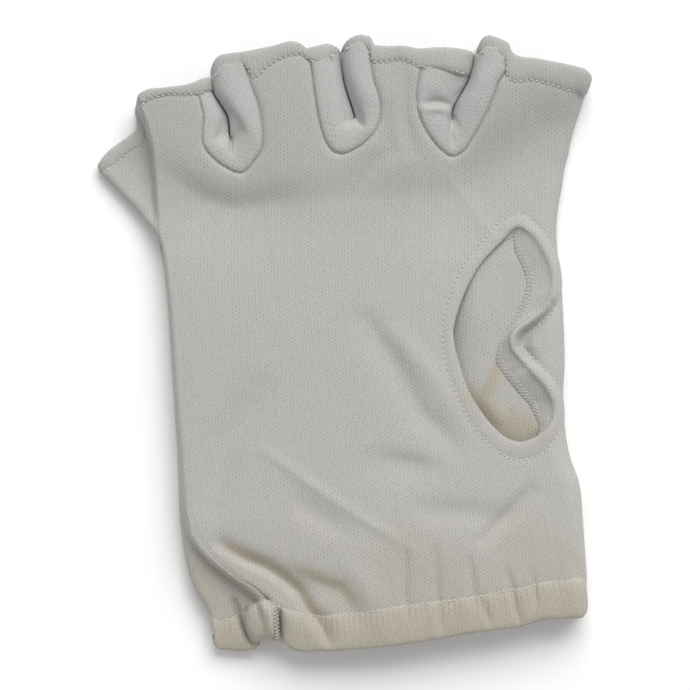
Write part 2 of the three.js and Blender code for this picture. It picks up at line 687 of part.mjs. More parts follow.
add('palm_panel', geometryOf(solid(wholePalm()).subtract(openings).subtract(thumbCut)), 'cloth');
add('back_panel', geometryOf(solid(wholeBack()).subtract(openings)), 'cloth');
add('side_seam', geometryOf(solid(wholeSeam()).subtract(ends)), 'seam');
for (const [name, rows] of Object.entries(CROTCHES)) {
  add(name, geometryOf(solid(wholeStrip(rows)).subtract(ends)), 'strip');
}
for (const [name, rim] of fingerRims) {
  add(name, band(rim.loop, FINGER_HEM_DEPTH, FINGER_HEM_WALL), 'hem');
}
add('thumb_hem', band(thumb, THUMB_HEM_DEPTH, THUMB_HEM_WALL), 'hem');
add('wrist_casing', band(wristRim.loop, CASING_DEPTH, CASING_WALL), 'casing');

export default glove;
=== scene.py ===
"""Dresses the fingerless cotton glove: knit cloth, hems, strips between the fingers, seams and stitches.

Plans are written in pixels of the reference view, x to the right and y down, which the frame's own length
turns into metres. Heights are in millimetres above the surface that the glove lies on.
"""

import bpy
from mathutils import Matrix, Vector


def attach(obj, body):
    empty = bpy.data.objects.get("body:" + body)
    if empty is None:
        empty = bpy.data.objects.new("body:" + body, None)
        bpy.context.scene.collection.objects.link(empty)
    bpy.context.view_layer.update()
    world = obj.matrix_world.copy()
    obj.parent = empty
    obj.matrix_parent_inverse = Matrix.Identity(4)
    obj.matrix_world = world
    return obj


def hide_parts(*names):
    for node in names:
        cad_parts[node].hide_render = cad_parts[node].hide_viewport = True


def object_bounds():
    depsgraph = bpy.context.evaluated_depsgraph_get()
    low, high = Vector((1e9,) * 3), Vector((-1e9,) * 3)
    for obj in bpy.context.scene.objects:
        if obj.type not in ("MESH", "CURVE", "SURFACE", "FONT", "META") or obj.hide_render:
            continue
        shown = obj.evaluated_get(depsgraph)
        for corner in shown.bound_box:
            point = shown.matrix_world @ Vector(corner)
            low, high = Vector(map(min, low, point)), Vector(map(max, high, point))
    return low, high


bl_info = {
    "name": "Fingerless cotton glove",
    "version": (1, 0, 0),
    "blender": (4, 5, 0),
    "location": "View3D > Sidebar > Glove",
    "description": "Makes the cloth, hems, seams and stitches of a fingerless cotton glove",
    "category": "Add Mesh",
}

import bmesh
import bpy
import numpy as np
from mathutils import Vector

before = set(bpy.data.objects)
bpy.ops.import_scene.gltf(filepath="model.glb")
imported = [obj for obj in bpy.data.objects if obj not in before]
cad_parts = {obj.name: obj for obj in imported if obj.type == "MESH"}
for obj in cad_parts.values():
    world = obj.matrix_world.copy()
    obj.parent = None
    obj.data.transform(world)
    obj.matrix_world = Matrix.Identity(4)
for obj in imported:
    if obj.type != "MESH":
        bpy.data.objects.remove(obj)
CAD_LOW, CAD_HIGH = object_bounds()

# The glove in the reference view
VIEW_SIZE = 690
VIEW_TOP, VIEW_BOTTOM = 35, 654
VIEW_LEFT, VIEW_RIGHT = 95, 593
PIXEL = (CAD_HIGH.y - CAD_LOW.y) / (VIEW_BOTTOM - VIEW_TOP)
MIDDLE_X = (VIEW_LEFT + VIEW_RIGHT) / 2
MIDDLE_Y = (VIEW_TOP + VIEW_BOTTOM) / 2
MM = 0.001

# Plan and height of the hand down the view: y, fold on the little finger's side, side seam, fold on the
# index side, height of the crown and of the middle of the folds.
HAND = np.array([
    (24, 52, 125, 602, 12.3, 2.4), (80, 52, 137, 593, 12.1, 2.4), (95, 54, 140, 587, 11.9, 2.3),
    (110, 60, 144.5, 582, 11.6, 2.3), (125, 69, 150, 577, 11.25, 2.2), (140, 77, 153.5, 573, 10.9, 2.1),
    (155, 89, 156, 570, 10.5, 2.1), (163, 95, 156.5, 567.5, 10.3, 2.1), (170, 98, 157, 566, 10.15, 2.2),
    (185, 111, 158, 564, 9.85, 2.4), (200, 126, 159, 561, 9.65, 2.7), (215, 139, 160.5, 559, 9.6, 3),
    (230, 151, 161.8, 558, 9.65, 3.3), (245, 160, 164, 558.5, 9.75, 3.6), (260, 162, 167, 560, 9.9, 3.8),
    (275, 163.5, 169.5, 562, 10, 3.9), (305, 166.5, 173.5, 564, 10.25, 4),
    (335, 168.5, 176, 565.5, 10.5, 4), (365, 170.5, 178, 566, 10.8, 4),
    (395, 172.5, 180.5, 564.5, 11.05, 4), (425, 174.5, 183, 566, 11.3, 4), (455, 176.5, 186, 571, 11.55, 4),
    (485, 177.5, 188, 581, 11.75, 4), (515, 178.5, 191.5, 584, 11.9, 4.1), (530, 180, 197, 585, 11.95, 4.2),
    (545, 182, 206, 586, 11.95, 4.3), (560, 184.5, 219, 587, 11.85, 4.4), (575, 188.5, 237, 588, 11.7, 4.5),
    (590, 194, 258, 588, 11.5, 4.6), (600, 200, 268, 588, 11.35, 4.7), (612, 208, 275, 588, 11.2, 4.8),
    (635, 212, 279, 588, 11, 4.9), (662, 213, 281, 588, 10.8, 4.9),
]).T
# Height of the side seam as a share of the crown's, width in pixels of the rolls at the two sides, and in
# millimetres how far the back stands off the surface and the palm off the back.
SEAM_SHARE = 0.84
INDEX_ROLL = 21
FOLD_ROLL = 14
FLOOR_GAP = 0.04
LAYER_GAP = 2.3

# Strips between the fingers: down the left side, round the crotch, up the right side. Columns: seam with
# the palm x and y, lip x and y, and how far the cloth stands up (or lies down) near the lip.
STRIPS = {
    "little_ring": np.array([
        (196, 30, 208, 30, -0.8), (196, 66, 209, 66, -0.8), (196, 89, 212.5, 91, -0.8),
        (200, 103, 220, 104, -0.6), (203, 118, 225, 117, -0.3), (202, 132, 222.5, 130, 0),
        (203, 146, 219.5, 135.5, 0.5), (212, 158, 222, 137, 0.9), (225, 168, 227, 136.5, 1),
        (243, 174, 231, 138.5, 0.9), (254, 163, 235.5, 134, 1), (262, 151, 238, 128, 1.1),
        (263.5, 137, 237.5, 124.5, 1.2), (262, 120, 231, 115.5, 1.2), (258, 102, 221, 103.5, 1.1),
        (253, 89, 214.5, 94, 1), (249, 77, 211.5, 80, 0.9), (246, 62, 211, 64, 0.8),
        (244, 30, 211, 30, 0.8),
    ]).T,
    "ring_middle": np.array([
        (305, 22, 338, 22, 0.2), (306.5, 56, 339.5, 55, 0.2), (310.5, 68, 341.5, 70, 0.2),
        (312.5, 85, 344, 86, 0.2), (316, 108, 348.5, 104, 0.2), (319.5, 126, 349.5, 112, 0.4),
        (326, 144, 349, 116.5, 0.8), (333, 153, 351, 117, 1), (341, 155.5, 354, 115.5, 1),
        (354, 151, 358, 118, 1), (368, 141, 361, 124, 1), (377.5, 129, 360.5, 122, 0.9),
        (381, 114, 356.5, 112, 0.8), (379, 97, 350.5, 97, 0.7), (374, 82, 345.5, 83, 0.7),
        (371.5, 66, 342.5, 68, 0.7), (371.5, 50, 341, 53, 0.7), (372, 22, 340.5, 22, 0.7),
    ]).T,
    "middle_index": np.array([
        (419, 22, 475, 22, -0.9), (419.5, 56, 474, 56, -0.9), (419, 72, 471.5, 72, -0.9),
        (416, 86, 466, 86, -1), (415.5, 102, 458, 98, -0.9), (419, 119, 453.5, 106, -0.2),
        (429.5, 138, 451, 111, 0.5), (442, 152, 450.5, 115, 0.9), (453, 158, 452, 117, 1),
        (464.5, 151.5, 453.5, 114, 1), (472, 141, 454, 109, 1.1), (478.5, 130, 456, 102.5, 1.1),
        (486.5, 115, 460.5, 95, 1.1), (492.8, 99.5, 466, 86.5, 1), (499, 83, 470, 77, 1),
        (507, 71, 472.5, 64, 0.9), (509.5, 58, 473.5, 53, 0.9), (512, 22, 474, 22, 0.9),
    ]).T,
}
# Power of the half ovals in a strip's and a hem's section, and the shelf inside a strip: where it is in the
# section from 0 at the palm to 1 at the back, how wide, and its reach towards the other side.
STRIP_FULLNESS = 2.7
SHELF = {"at": 0.43, "width": 0.085, "reach": 0.97}
# Wide places of the wrapped side: the widths in pixels over which each sets in, the rows over which the wing
# ends and the corner begins, and how much higher its layer lies, as a share of the folds' middle height.
WING = {"widths": (9, 34), "rows": (230, 300), "lift": 0.9}
CORNER = {"widths": (8, 20), "rows": (465, 520), "lift": 0.45}
# Grooves in the palm: share of the seams' depth, and width in pixels. How far the palm and the back run on
# past the outline of the gap between two fingers, in pixels.
GROOVES = {"strip": (1, 2.6), "thumb": (0.2, 2.4), "finger": (0.6, 2.2), "wrist": (0.15, 2.2)}
NOTCH_EDGE = {"palm": 5, "back": 4}
# Puckers between the stitches of a hem: height in millimetres, and where they are and how wide, as shares of
# the way from the rim to the stitch line.
PUCKER = {"height": 0.09, "at": 0.82, "width": 0.17}
# Thumb hole in millimetres: the thickness of its hem, how far its rows lie off the palm and its facing off
# the back, and the hang from which a raw edge lies on the back instead of under the palm.
THUMB_WALL = 0.84
FACING = {"sunk": 0.35, "over_back": 0.95, "raw_over_back": 1.0, "hidden": 1.5}
# Stitches: depth of their ends in millimetres, slant in pixels, and the shares of a hem's length between
# which they run. Overlock: pitch in pixels at the thumb hole and the casing, and its share of the thread.
STITCH_SUNK, STITCH_SLANT = 0.08, 1.8
STITCHED = {"finger": (0.03, 0.97), "wrist": (0.04, 0.985)}
OVERLOCK = {"thumb": 2.0, "casing": 1.9, "thread": 0.5}
# Widths in pixels of the roll at the edge of a wide place, and of the step down to it from the side seam.
WIDE_ROLL = 12
WIDE_STEP = 8
# Dent below each crotch: depth in millimetres, length and width in pixels.
CROTCH_DIP = {"depth": 0.8, "length": 60, "width": 32}

# Cut ends of the fingers from left lip to right lip. Columns: rim x and y, stitch line x and y.
FINGER_ENDS = {
    "little": {"rolls": (0.1, 0.12), "rows": np.array([
        (95.5, 162.5, 99, 172), (104, 152, 110.5, 165.5), (115, 143, 121.5, 156),
        (127, 134.5, 132.5, 148.5), (134.5, 128, 142.5, 143), (134.8, 119, 144, 124),
        (133.4, 110, 143.8, 109), (135, 101.5, 144.6, 103.5), (138.5, 95, 148, 101), (145.5, 91, 152, 99.5),
        (165, 88.2, 167, 95.8), (190, 84.6, 190, 95.5), (207, 78.5, 207, 92.5), (212, 77.5, 212.5, 91.5),
    ]).T},
    "ring": {"rolls": (0.24, 0.23), "rows": np.array([
        (211, 67, 212, 80), (216, 58.5, 218, 74.5), (232.6, 54, 234, 69), (246, 52.5, 247, 68),
        (252.5, 51.3, 252.5, 77), (271, 47.8, 270, 66.5), (295.6, 43.3, 293, 56.8),
        (302, 45.6, 301.5, 56.3), (306.5, 49.3, 308, 60), (316, 47.5, 318, 64.5), (330.5, 45, 331, 58.2),
        (338, 47.5, 339.5, 55),
    ]).T},
    "middle": {"rolls": (0.23, 0.38), "rows": np.array([
        (342, 50, 342, 54), (345.5, 43, 347, 50), (351.5, 38.6, 353, 48), (361.6, 36, 361, 47.5),
        (369.5, 38.2, 368.5, 49), (374.5, 46, 372.5, 62.5), (384, 47.6, 383, 63.5), (403, 47.4, 402, 61.5),
        (419.6, 50, 419, 68), (439.5, 48.6, 439, 69), (462.7, 50, 460, 73.5), (474.5, 52, 470, 76),
    ]).T},
    "index": {"rolls": (0.26, 0.13), "rows": np.array([
        (477.3, 51, 478, 55.5), (478.8, 43.5, 481.5, 54.5), (482.5, 38, 486, 53.5),
        (489, 36.4, 490.5, 53.5), (498.5, 40, 497, 55.5), (507.3, 44, 504, 61), (511.5, 53, 506.5, 76.5),
        (539, 60, 535, 81.5), (560, 64, 556, 87), (572, 66.5, 569, 91), (586, 70.4, 580, 92.5),
        (593, 75.5, 586.5, 94),
    ]).T},
}

# Wrist casing from the little finger's side to the index side, with the same columns.
WRIST = {"rolls": (0.045, 0.05), "rows": np.array([
    (212.5, 622, 209.5, 611), (213.5, 640, 214.5, 621), (216.5, 650, 221, 623), (229, 652.6, 229, 620.5),
    (245, 653.2, 237, 617), (254, 651, 243, 613.5), (257.8, 645, 247.5, 609), (261, 641.3, 254, 603.5),
    (269, 641.4, 264, 600), (276, 640.6, 273, 602.5), (282.5, 641.5, 284, 608.5), (290, 648.8, 293, 611.5),
    (302, 652.2, 303, 612.5), (318, 651, 320, 616), (340, 650, 338, 614), (365, 648, 364, 612),
    (385, 646, 384, 608), (405, 643.6, 404, 605), (425, 640.5, 424, 602.5), (445, 636.8, 444, 600),
    (465, 633.5, 464, 597.5), (485, 630.6, 483, 594.5), (505, 628.2, 503, 590), (525, 624.3, 522, 587.5),
    (545, 619.3, 543, 582), (570, 617.8, 567, 580.5), (584, 616.8, 580, 580.3), (588, 613, 585.5, 580),
]).T}

# Thumb hole, anticlockwise from its top. Columns: rim x and y, stitch line x and y, raw edge of the facing
# x and y, how far the rim stands up and how far below the rim the raw edge hangs.
THUMB = np.array([
    (518, 225.8, 520, 213, 513, 236, 0.8, 2), (511, 229, 503, 219, 507, 240, 0.5, 1.9),
    (503.5, 237.6, 493, 229, 501, 235.5, 0.25, 1.6), (492, 249.6, 481, 243, 484, 245, 0.1, 1.5),
    (480, 263, 469, 257, 472, 258, 0, 1.5), (468.4, 282, 457.5, 277, 460, 278, 0, 1.5),
    (459.8, 301, 449, 298, 452, 299, 0, 1.5), (454.3, 318, 444, 317, 447, 317, 0, 1.5),
    (451.6, 332, 442.5, 333, 445, 332, 0, 1.5), (453.2, 346, 443, 349, 446, 347.5, 0, 1.5),
    (459.8, 371, 449, 375, 452, 373, 0, 1.5), (466.9, 391, 457, 397, 460, 395, 0, 1.5),
    (477.5, 409, 466.5, 416, 470, 413, 0, 1.5), (491.5, 427, 481, 437, 485, 433, 0, 1.5),
    (505.5, 438.6, 498, 452, 501, 447, 0, 1.5), (519.7, 442.8, 518, 459.5, 518, 452, 0.1, 1.5),
    (532, 439.5, 536, 456, 533, 447, 0.2, 1.5), (545, 431.5, 553, 441, 541, 429, 0.4, 1.8),
    (553.4, 420.5, 561.5, 425, 537.5, 420, 0.7, 2.4), (554.6, 406, 562, 404, 530.5, 406, 0.9, 3),
    (547.6, 389, 555, 383, 520, 394, 1.1, 3.2), (534, 373, 541, 366, 508.5, 380, 1.3, 3.2),
    (520.5, 357.6, 528, 352, 499.5, 368, 1.5, 3), (512, 346, 520.5, 344.5, 496.4, 359.5, 1.6, 2.8),
    (511.4, 336.5, 519.5, 339.5, 499, 349, 1.6, 2.8), (517.5, 328, 524, 334.5, 504.5, 338, 1.5, 2.9),
    (531, 319, 537, 326.5, 511.5, 325, 1.3, 3), (546.5, 306, 553, 311, 519.5, 307.5, 1.1, 3.2),
    (553.4, 287, 560, 288, 526, 291, 0.9, 3.2), (551.6, 268, 558.5, 266, 526, 277, 0.9, 3.2),
    (543.6, 249.6, 551, 245, 521, 263, 0.9, 3), (531, 232.5, 537, 225, 515, 249, 0.9, 2.5),
]).T

# Folds of the upper cloth: points from left to right or from top to bottom, width in pixels on the upper or
# right-hand side, width on the other side, height in millimetres (dents below zero).
FOLDS = [
    ([(160, 174), (200, 203), (236, 213), (290, 207), (360, 200), (445, 200)], 24, 70, -1.5),
    ([(176, 184), (205, 203), (236, 211), (268, 205)], 15, 44, -1.4),
    ([(462, 200), (502, 167), (545, 137), (604, 120)], 38, 60, -3.8),
    ([(190, 672), (258, 684)], 78, 30, -3.6),
    ([(500, 260), (500, 400)], 60, 60, -0.9),
    ([(223, 546), (246, 560), (267, 569), (282, 579), (298, 593), (310, 615), (319, 622), (328, 640)],
     10, 4.5, -1.9),
    ([(216, 556), (238, 576), (262, 590), (282, 608), (296, 626)], 9, 9, 0.7),
    ([(300, 573), (313, 582), (341, 592), (356, 614)], 10, 15, -1.1),
    ([(352, 566), (372, 596), (384, 640)], 12, 12, 0.5),
    ([(262, 448), (301, 477), (359, 516), (409, 546)], 5.5, 5.5, 0.4),
    ([(296, 500), (342, 530)], 11, 11, -0.7),
    ([(256, 392), (228, 440), (212, 500)], 17, 17, -1.2),
    ([(366, 322), (395, 365), (420, 412), (452, 444)], 11, 15, -1.2),
    ([(396, 335), (432, 376), (452, 410)], 10, 10, 0.6),
    ([(380, 458), (432, 468)], 10, 22, -1),
    ([(420, 508), (500, 516)], 12, 12, -0.7),
    ([(483, 538), (498, 523), (513, 508), (529, 490)], 7, 9, -1.1),
    ([(404, 540), (404, 590), (406, 614)], 5, 5, -0.7),
    ([(434, 550), (436, 592), (441, 630)], 5, 5, -0.7),
    ([(469, 560), (474, 604)], 4.4, 4.4, -0.7),
    ([(482, 600), (489, 622)], 4, 4, -0.6),
    ([(507, 572), (519, 622)], 4.6, 4.6, -0.9),
    ([(532, 572), (535, 604)], 4, 4, -0.6),
    ([(574, 560), (580, 584)], 6, 6, -0.6),
    ([(386, 112), (388, 150), (366, 178)], 10, 10, -0.8),
    ([(404, 70), (405, 120), (412, 150)], 7, 10, -0.8),
    ([(552, 306), (538, 322), (526, 334), (521, 346), (530, 362)], 7, 7, -2.3),
    ([(234, 602), (241, 626), (250, 642)], 3.6, 3.6, -2.2),
    ([(244, 612), (255, 603), (268, 598)], 2, 2, -1),
    ([(280, 612), (280.5, 642)], 3, 3, -2.6),
]

# Swelling at the end of the casing in view pixels, and its rise in millimetres.
BULB = {"x": 261, "y": 622, "half_x": 16, "half_y": 22, "rise": 3, "power": 2.6}

# Folds of the strips, in the same columns.
STRIP_FOLDS = [
    ([(231, 138), (231, 153)], 1.5, 1.5, -1.1),
    ([(425, 104), (440, 102), (453, 107)], 3.4, 3.4, -1.1),
    ([(427, 110), (440, 109.5), (452, 114)], 4, 4, 0.8),
    ([(453, 112), (450, 129), (453, 143)], 2.2, 2.2, -0.6),
    ([(430, 99), (436, 102)], 8, 8, -0.8),
]

# Stains and yellowing of the cloth, and of the back's inner face: points, width in pixels and strength.
STAINS = [
    ([(214, 640), (300, 636), (400, 628), (500, 612), (588, 600)], 34, 0.5),
    ([(229, 547), (248, 555), (269, 563), (284, 573), (300, 588), (313, 609), (328, 632)], 5, 1),
    ([(301, 570), (322, 578), (342, 585), (354, 604)], 6, 0.75),
    ([(261, 622), (262, 630)], 15, 0.35),
    ([(196, 575), (206, 610), (228, 645)], 17, 0.4),
    ([(226, 570), (262, 592), (292, 618)], 13, 0.3),
    ([(405, 560), (470, 590)], 26, 0.3),
    ([(520, 540), (570, 575)], 24, 0.3),
]
INNER_STAINS = [
    ([(497, 366), (488, 395)], 5, 0.8),
    ([(470, 395), (490, 412), (512, 432)], 10, 0.8),
    ([(512, 420), (534, 432)], 12, 0.7),
]

# Back cloth inside the glove: folds and humps in the columns of FOLDS, and its swelling under the thumb.
INNER_FOLDS = [
    ([(497, 372), (489, 402), (500, 420)], 5, 5, 0.8),
    ([(480, 270), (472, 330)], 12, 12, 0.5),
]
INNER_HUMPS = [
    ([(224, 96), (224, 128)], 22, 22, 5),
    ([(346, 84), (352, 112)], 20, 20, 5.4),
    ([(462, 80), (455, 108)], 20, 20, 5.4),
]
INNER_RISE = {"line": [(512, 262), (494, 320), (494, 380), (520, 414)], "width": 54, "rise": 6.5}

# Side seam's welt in view pixels: rows, reach across the seam and spacing of the ridges. In millimetres: how
# far it stands up in its middle, how deep its edges lie in the cloth, and its thickness.
WELT = {"rows": (104, 596), "across": (-5.5, 6.5), "ridges": 3.4, "stands": 0.34, "sunk": 0.26, "wall": 0.7}

# Overlocked end of the casing in view pixels: its rows, the columns of its raw edge and of the line behind
# that at the first and last of them, and the column whose cloth it lies on.
CASING_END = {"rows": (607, 640), "edge": (278, 280.5), "behind": (273.5, 275), "on": 272}

# Soft light above the fingers: place and sides in metres. Camera: lens, sensor and the height at which a
# pixel of the view is one of the reference's, in millimetres. Floor: half its side in metres.
LAMP_PLACE = (0.6, 1.85, 1.95)
LAMP_SIDES = (2.3, 1.9)
LENS, SENSOR, SHARP_HEIGHT = 135, 36, 8
FLOOR_REACH = 2.0

# Tones that multiply the cloth's colour: in slow patches, and from the cuff to the fingers over a span of
# places along the glove in metres, warm at the cuff for the cloth's yellowing and darker and greyer at the
# fingers as painted shade. Shares of the knit's relief and contrast, where they aren't whole.
PATCH_TONES = (1.0, 1.0, 0.985), (0.985, 0.99, 1.0)
WARMTH_AND_SHADE_TONES = (1.0, 0.985, 0.962), (0.94, 0.938, 0.956)
WARMTH_AND_SHADE_SPAN = (-0.05, 0.06)
KNIT_SHARES = {"hem_cotton": (1, 0.9), "seam_cotton": (0.8, 0.8)}


# Curves and distances

def smooth(at, values, x):
    """Cubic through the table's points, its slope at each being that between the neighbours."""
    slopes = np.gradient(values, at)
    i = np.clip(np.searchsorted(at, x) - 1, 0, len(at) - 2)
    span = at[i + 1] - at[i]
    t = np.clip((x - at[i]) / span, 0, 1)
    start = (2 * t**3 - 3 * t**2 + 1) * values[i] + (t**3 - 2 * t**2 + t) * span * slopes[i]
    end = (3 * t**2 - 2 * t**3) * values[i + 1] + (t**3 - t**2) * span * slopes[i + 1]
    return start + end


def spaced(rows, closed=False):
    """Places of a table's rows from 0 to 1 by the distance along its first two columns."""
    table = np.column_stack([rows, rows[:, :1]]) if closed else rows
    steps = np.hypot(*np.diff(table[:2], axis=1))
    return table, np.concatenate([[0], np.cumsum(steps)]) / steps.sum()


def along(rows, t, closed=False):
    """All columns of a table at the shares t of its length; a closed table runs on past its end."""
    table, at = spaced(rows, closed)
    if closed:
        lap = table.shape[1] - 1
        table = np.column_stack([table[:, lap - 3:lap], table, table[:, 1:4]])
        at = np.concatenate([at[lap - 3:lap] - 1, at, at[1:4] + 1])
    return np.array([smooth(at, column, t) for column in table])


def step(x, low, high):
    """Smooth rise from 0 at low to 1 at high."""
    t = np.clip((x - low) / (high - low), 0, 1)
    return t * t * (3 - 2 * t)


def between(first, last, share):
    """Value at a share of the way from first to last."""
    return first + (last - first) * share


def distance(x, y, points):
    """Distance from each place to the line through the points, the share of the line that is nearest, and
    the side: from -1 above the line (or right of it where it runs down) to 1 below it, 0 straight ahead."""
    best = np.full(np.shape(x), 1e9)
    share = np.zeros(np.shape(x))
    side = np.zeros(np.shape(x))
    count = len(points) - 1
    for i, ((x0, y0), (x1, y1)) in enumerate(zip(points[:-1], points[1:])):
        run_x, run_y = x1 - x0, y1 - y0
        length = np.hypot(run_x, run_y) + 1e-9
        t = np.clip(((x - x0) * run_x + (y - y0) * run_y) / length**2, 0, 1)
        far = np.hypot(x - x0 - t * run_x, y - y0 - t * run_y)
        near = far < best
        best = np.where(near, far, best)
        share = np.where(near, (i + t) / count, share)
        across = run_x * (y - y0 - t * run_y) - run_y * (x - x0 - t * run_x)
        side = np.where(near, across / (length * far + 1e-6), side)
    return best, share, side


def far_from(x, y, points):
    """Distance from each place to the line through the points."""
    return distance(x, y, points)[0]


def bell(far, width):
    """Bell that is 1 where far is 0 and a third of that at the width."""
    return np.exp(-((far / width) ** 2))


def inside(x, y, points):
    """True where a place is inside the closed outline, by counting the sides crossed to its right."""
    odd = np.zeros(np.shape(x), dtype=bool)
    for (x0, y0), (x1, y1) in zip(points, np.roll(points, -1, axis=0)):
        crosses = (y0 > y) != (y1 > y)
        at = x0 + (y - y0) * (x1 - x0) / (y1 - y0 + 1e-12)
        odd ^= crosses & (x < at)
    return odd


def relief(x, y, folds):
    """Sum of bell-shaped folds, each fading to a third of its height at its ends."""
    total = np.zeros(np.shape(x))
    for points, width_above, width_below, rise in folds:
        far, share, side = distance(x, y, points)
        width = between(width_below, width_above, (1 - side) / 2)
        fade = 0.35 + 0.65 * np.sin(np.pi * np.clip(share, 0.02, 0.98)) ** 0.5
        total += rise * fade * bell(far, width)
    return total


# Shape of the hand

def hand(y):
    """The hand's places across the view and its heights, at each row y."""
    return {
        name: smooth(HAND[0], HAND[i + 1], y)
        for i, name in enumerate(("fold", "seam", "index", "crown", "edge"))
    }


def crotch_dips(x, y):
    """Bells across each crotch that grow over the stretch below it."""
    total = np.zeros(np.shape(x))
    for rows in STRIPS.values():
        tip_y = rows[1].max()
        tip_x = rows[0][rows[1].argmax()]
        top_x = (rows[0][0] + rows[0][-1]) / 2
        way = np.clip((tip_y - y) / (tip_y - rows[1][0]), 0, 1)
        middle = between(tip_x, top_x, way)
        below = step(-y, -tip_y - CROTCH_DIP["length"], -tip_y)
        total -= CROTCH_DIP["depth"] * below * bell(x - middle, CROTCH_DIP["width"])
    return total


def bulb(x, y):
    """Rounded box that swells the end of the casing beside the side seam."""
    across = np.abs((x - BULB["x"]) / BULB["half_x"]) ** BULB["power"]
    down = np.abs((y - BULB["y"]) / BULB["half_y"]) ** BULB["power"]
    return BULB["rise"] * np.sqrt(np.clip(1 - across - down, 0, 1))


def upper(x, y):
    """Height of the upper cloth's outer face.

    Right of the side seam it is an arch with dips and folds that rolls down as a quarter ellipse at the
    index side. Left of the seam it is the back cloth wrapped over: a quarter ellipse where the wrap is
    narrow, and a step down to a lower, flatter layer where it is wide, at the wing and the low corner.
    """
    x, y = np.broadcast_arrays(np.asarray(x, float), np.asarray(y, float))
    h = hand(y)
    seam_height = h["crown"] * SEAM_SHARE
    share = np.clip((x - h["seam"]) / (h["index"] - h["seam"]), 0, 1)
    arch = between(seam_height, h["crown"], np.sin(np.pi * share) ** 0.7)
    in_from_seam = step(x - h["seam"], 0, INDEX_ROLL)
    forms = crotch_dips(x, y) * in_from_seam + relief(x, y, FOLDS) + bulb(x, y)
    out = np.clip((x - h["index"] + INDEX_ROLL) / INDEX_ROLL, 0, 1)
    palm = between(h["edge"], arch + forms, np.sqrt(1 - out**2))
    width = h["seam"] - h["fold"]
    past = np.clip((h["seam"] - x) / width, 0, 1)
    narrow = between(h["edge"], seam_height + forms, np.sqrt(1 - past**2))
    wing = step(width, *WING["widths"]) * (1 - step(y, *WING["rows"]))
    corner = step(width, *CORNER["widths"]) * step(y, *CORNER["rows"])
    round_up = np.sqrt(1 - (1 - np.clip((x - h["fold"]) / WIDE_ROLL, 0, 1)) ** 2)
    level = h["edge"] * (1 + WING["lift"] * wing + CORNER["lift"] * corner)
    start = 0.5 + 6 * corner
    drop = step(h["seam"] - x, start, start + WIDE_STEP)
    wide = between(h["edge"], between(seam_height, level, drop) + forms, round_up)
    wrap = between(narrow, wide, np.maximum(wing, corner))
    return np.where(x < h["seam"], wrap, palm)


def inner(x, y):
    """Height of the back cloth inside the glove: it swells under the thumb hole and under each crotch."""
    far = far_from(x, y, INNER_RISE["line"])
    hump = INNER_RISE["rise"] * np.exp(-((far / INNER_RISE["width"]) ** 4))
    swell = np.maximum(hump, relief(x, y, INNER_HUMPS)) + relief(x, y, INNER_FOLDS)
    return np.clip(np.minimum(swell, upper(x, y) - LAYER_GAP), 0, None)


def stains(x, y, table):
    """Strength of the stains at each place: the strongest of the bells along the table's lines."""
    total = np.zeros(np.shape(x))
    for points, width, strength in table:
        total = np.maximum(total, strength * bell(far_from(x, y, points), width))
    return total


def place(x, y, height):
    """Metres in the frame from a plan in view pixels and a height in millimetres."""
    x, y, height = np.broadcast_arrays(x, y, height)
    return np.stack([(x - MIDDLE_X) * PIXEL, (MIDDLE_Y - y) * PIXEL, height * MM], axis=-1)


def wale_shift(y):
    """How far the knit's columns have leaned to the right on their way down the view."""
    below = np.clip(y - 250, 0, None)
    return np.where(below < 120, below**2 / 240, below - 60) * 0.135


def knit_plan(x, y):
    """Place in the knit, in metres, of a place in the view."""
    x, y = np.broadcast_arrays(x, y)
    return np.stack([(x - wale_shift(y)) * PIXEL, -y * PIXEL], axis=-1)


# Meshes

def run_along(points):
    """Distance along a line of points to each of them, from 0."""
    return np.concatenate([[0], np.cumsum(np.linalg.norm(np.diff(points, axis=0), axis=1))])


def at_spots(points, run, spots):
    """Places on a line of points at the given distances along it."""
    return np.stack([np.interp(spots, run, points[:, k]) for k in range(3)], axis=-1)


def normals_of(points, wrap_rows=False):
    """Unit normals of a grid of points, from its slopes down the rows and across the columns."""
    if wrap_rows:
        down = np.roll(points, -1, axis=0) - np.roll(points, 1, axis=0)
    else:
        down = np.gradient(points, axis=0)
    across = np.gradient(points, axis=1)
    normal = np.cross(across, down)
    return normal / (np.linalg.norm(normal, axis=-1, keepdims=True) + 1e-12)


def grid_faces(rows, columns, wrap_rows=False, wrap_columns=False, keep=None):
    """Four-cornered faces of a grid, joined round on itself where asked."""
    r = np.arange(rows if wrap_rows else rows - 1)
    c = np.arange(columns if wrap_columns else columns - 1)
    a, b = np.meshgrid(r, c, indexing="ij")
    if keep is not None:
        a, b = a[keep], b[keep]
    a, b = a.ravel(), b.ravel()
    a1, b1 = (a + 1) % rows, (b + 1) % columns
    return np.stack([a * columns + b, a * columns + b1, a1 * columns + b1, a1 * columns + b], axis=1)


def whole_cells(gone):
    """Cells of the grid that have none of their four corners cut away."""
    return ~(gone[:-1, :-1] | gone[1:, :-1] | gone[:-1, 1:] | gone[1:, 1:])


def closed_grid(name, points, uv, stain):
    """Piece from a grid that joins round on itself both ways, with its faces turned outwards."""
    faces = grid_faces(*points.shape[:2], wrap_rows=True, wrap_columns=True)
    piece = make_piece(name, points.reshape(-1, 3), faces, uv.reshape(-1, 2), stain.ravel())
    turn_outwards(piece)
    return piece


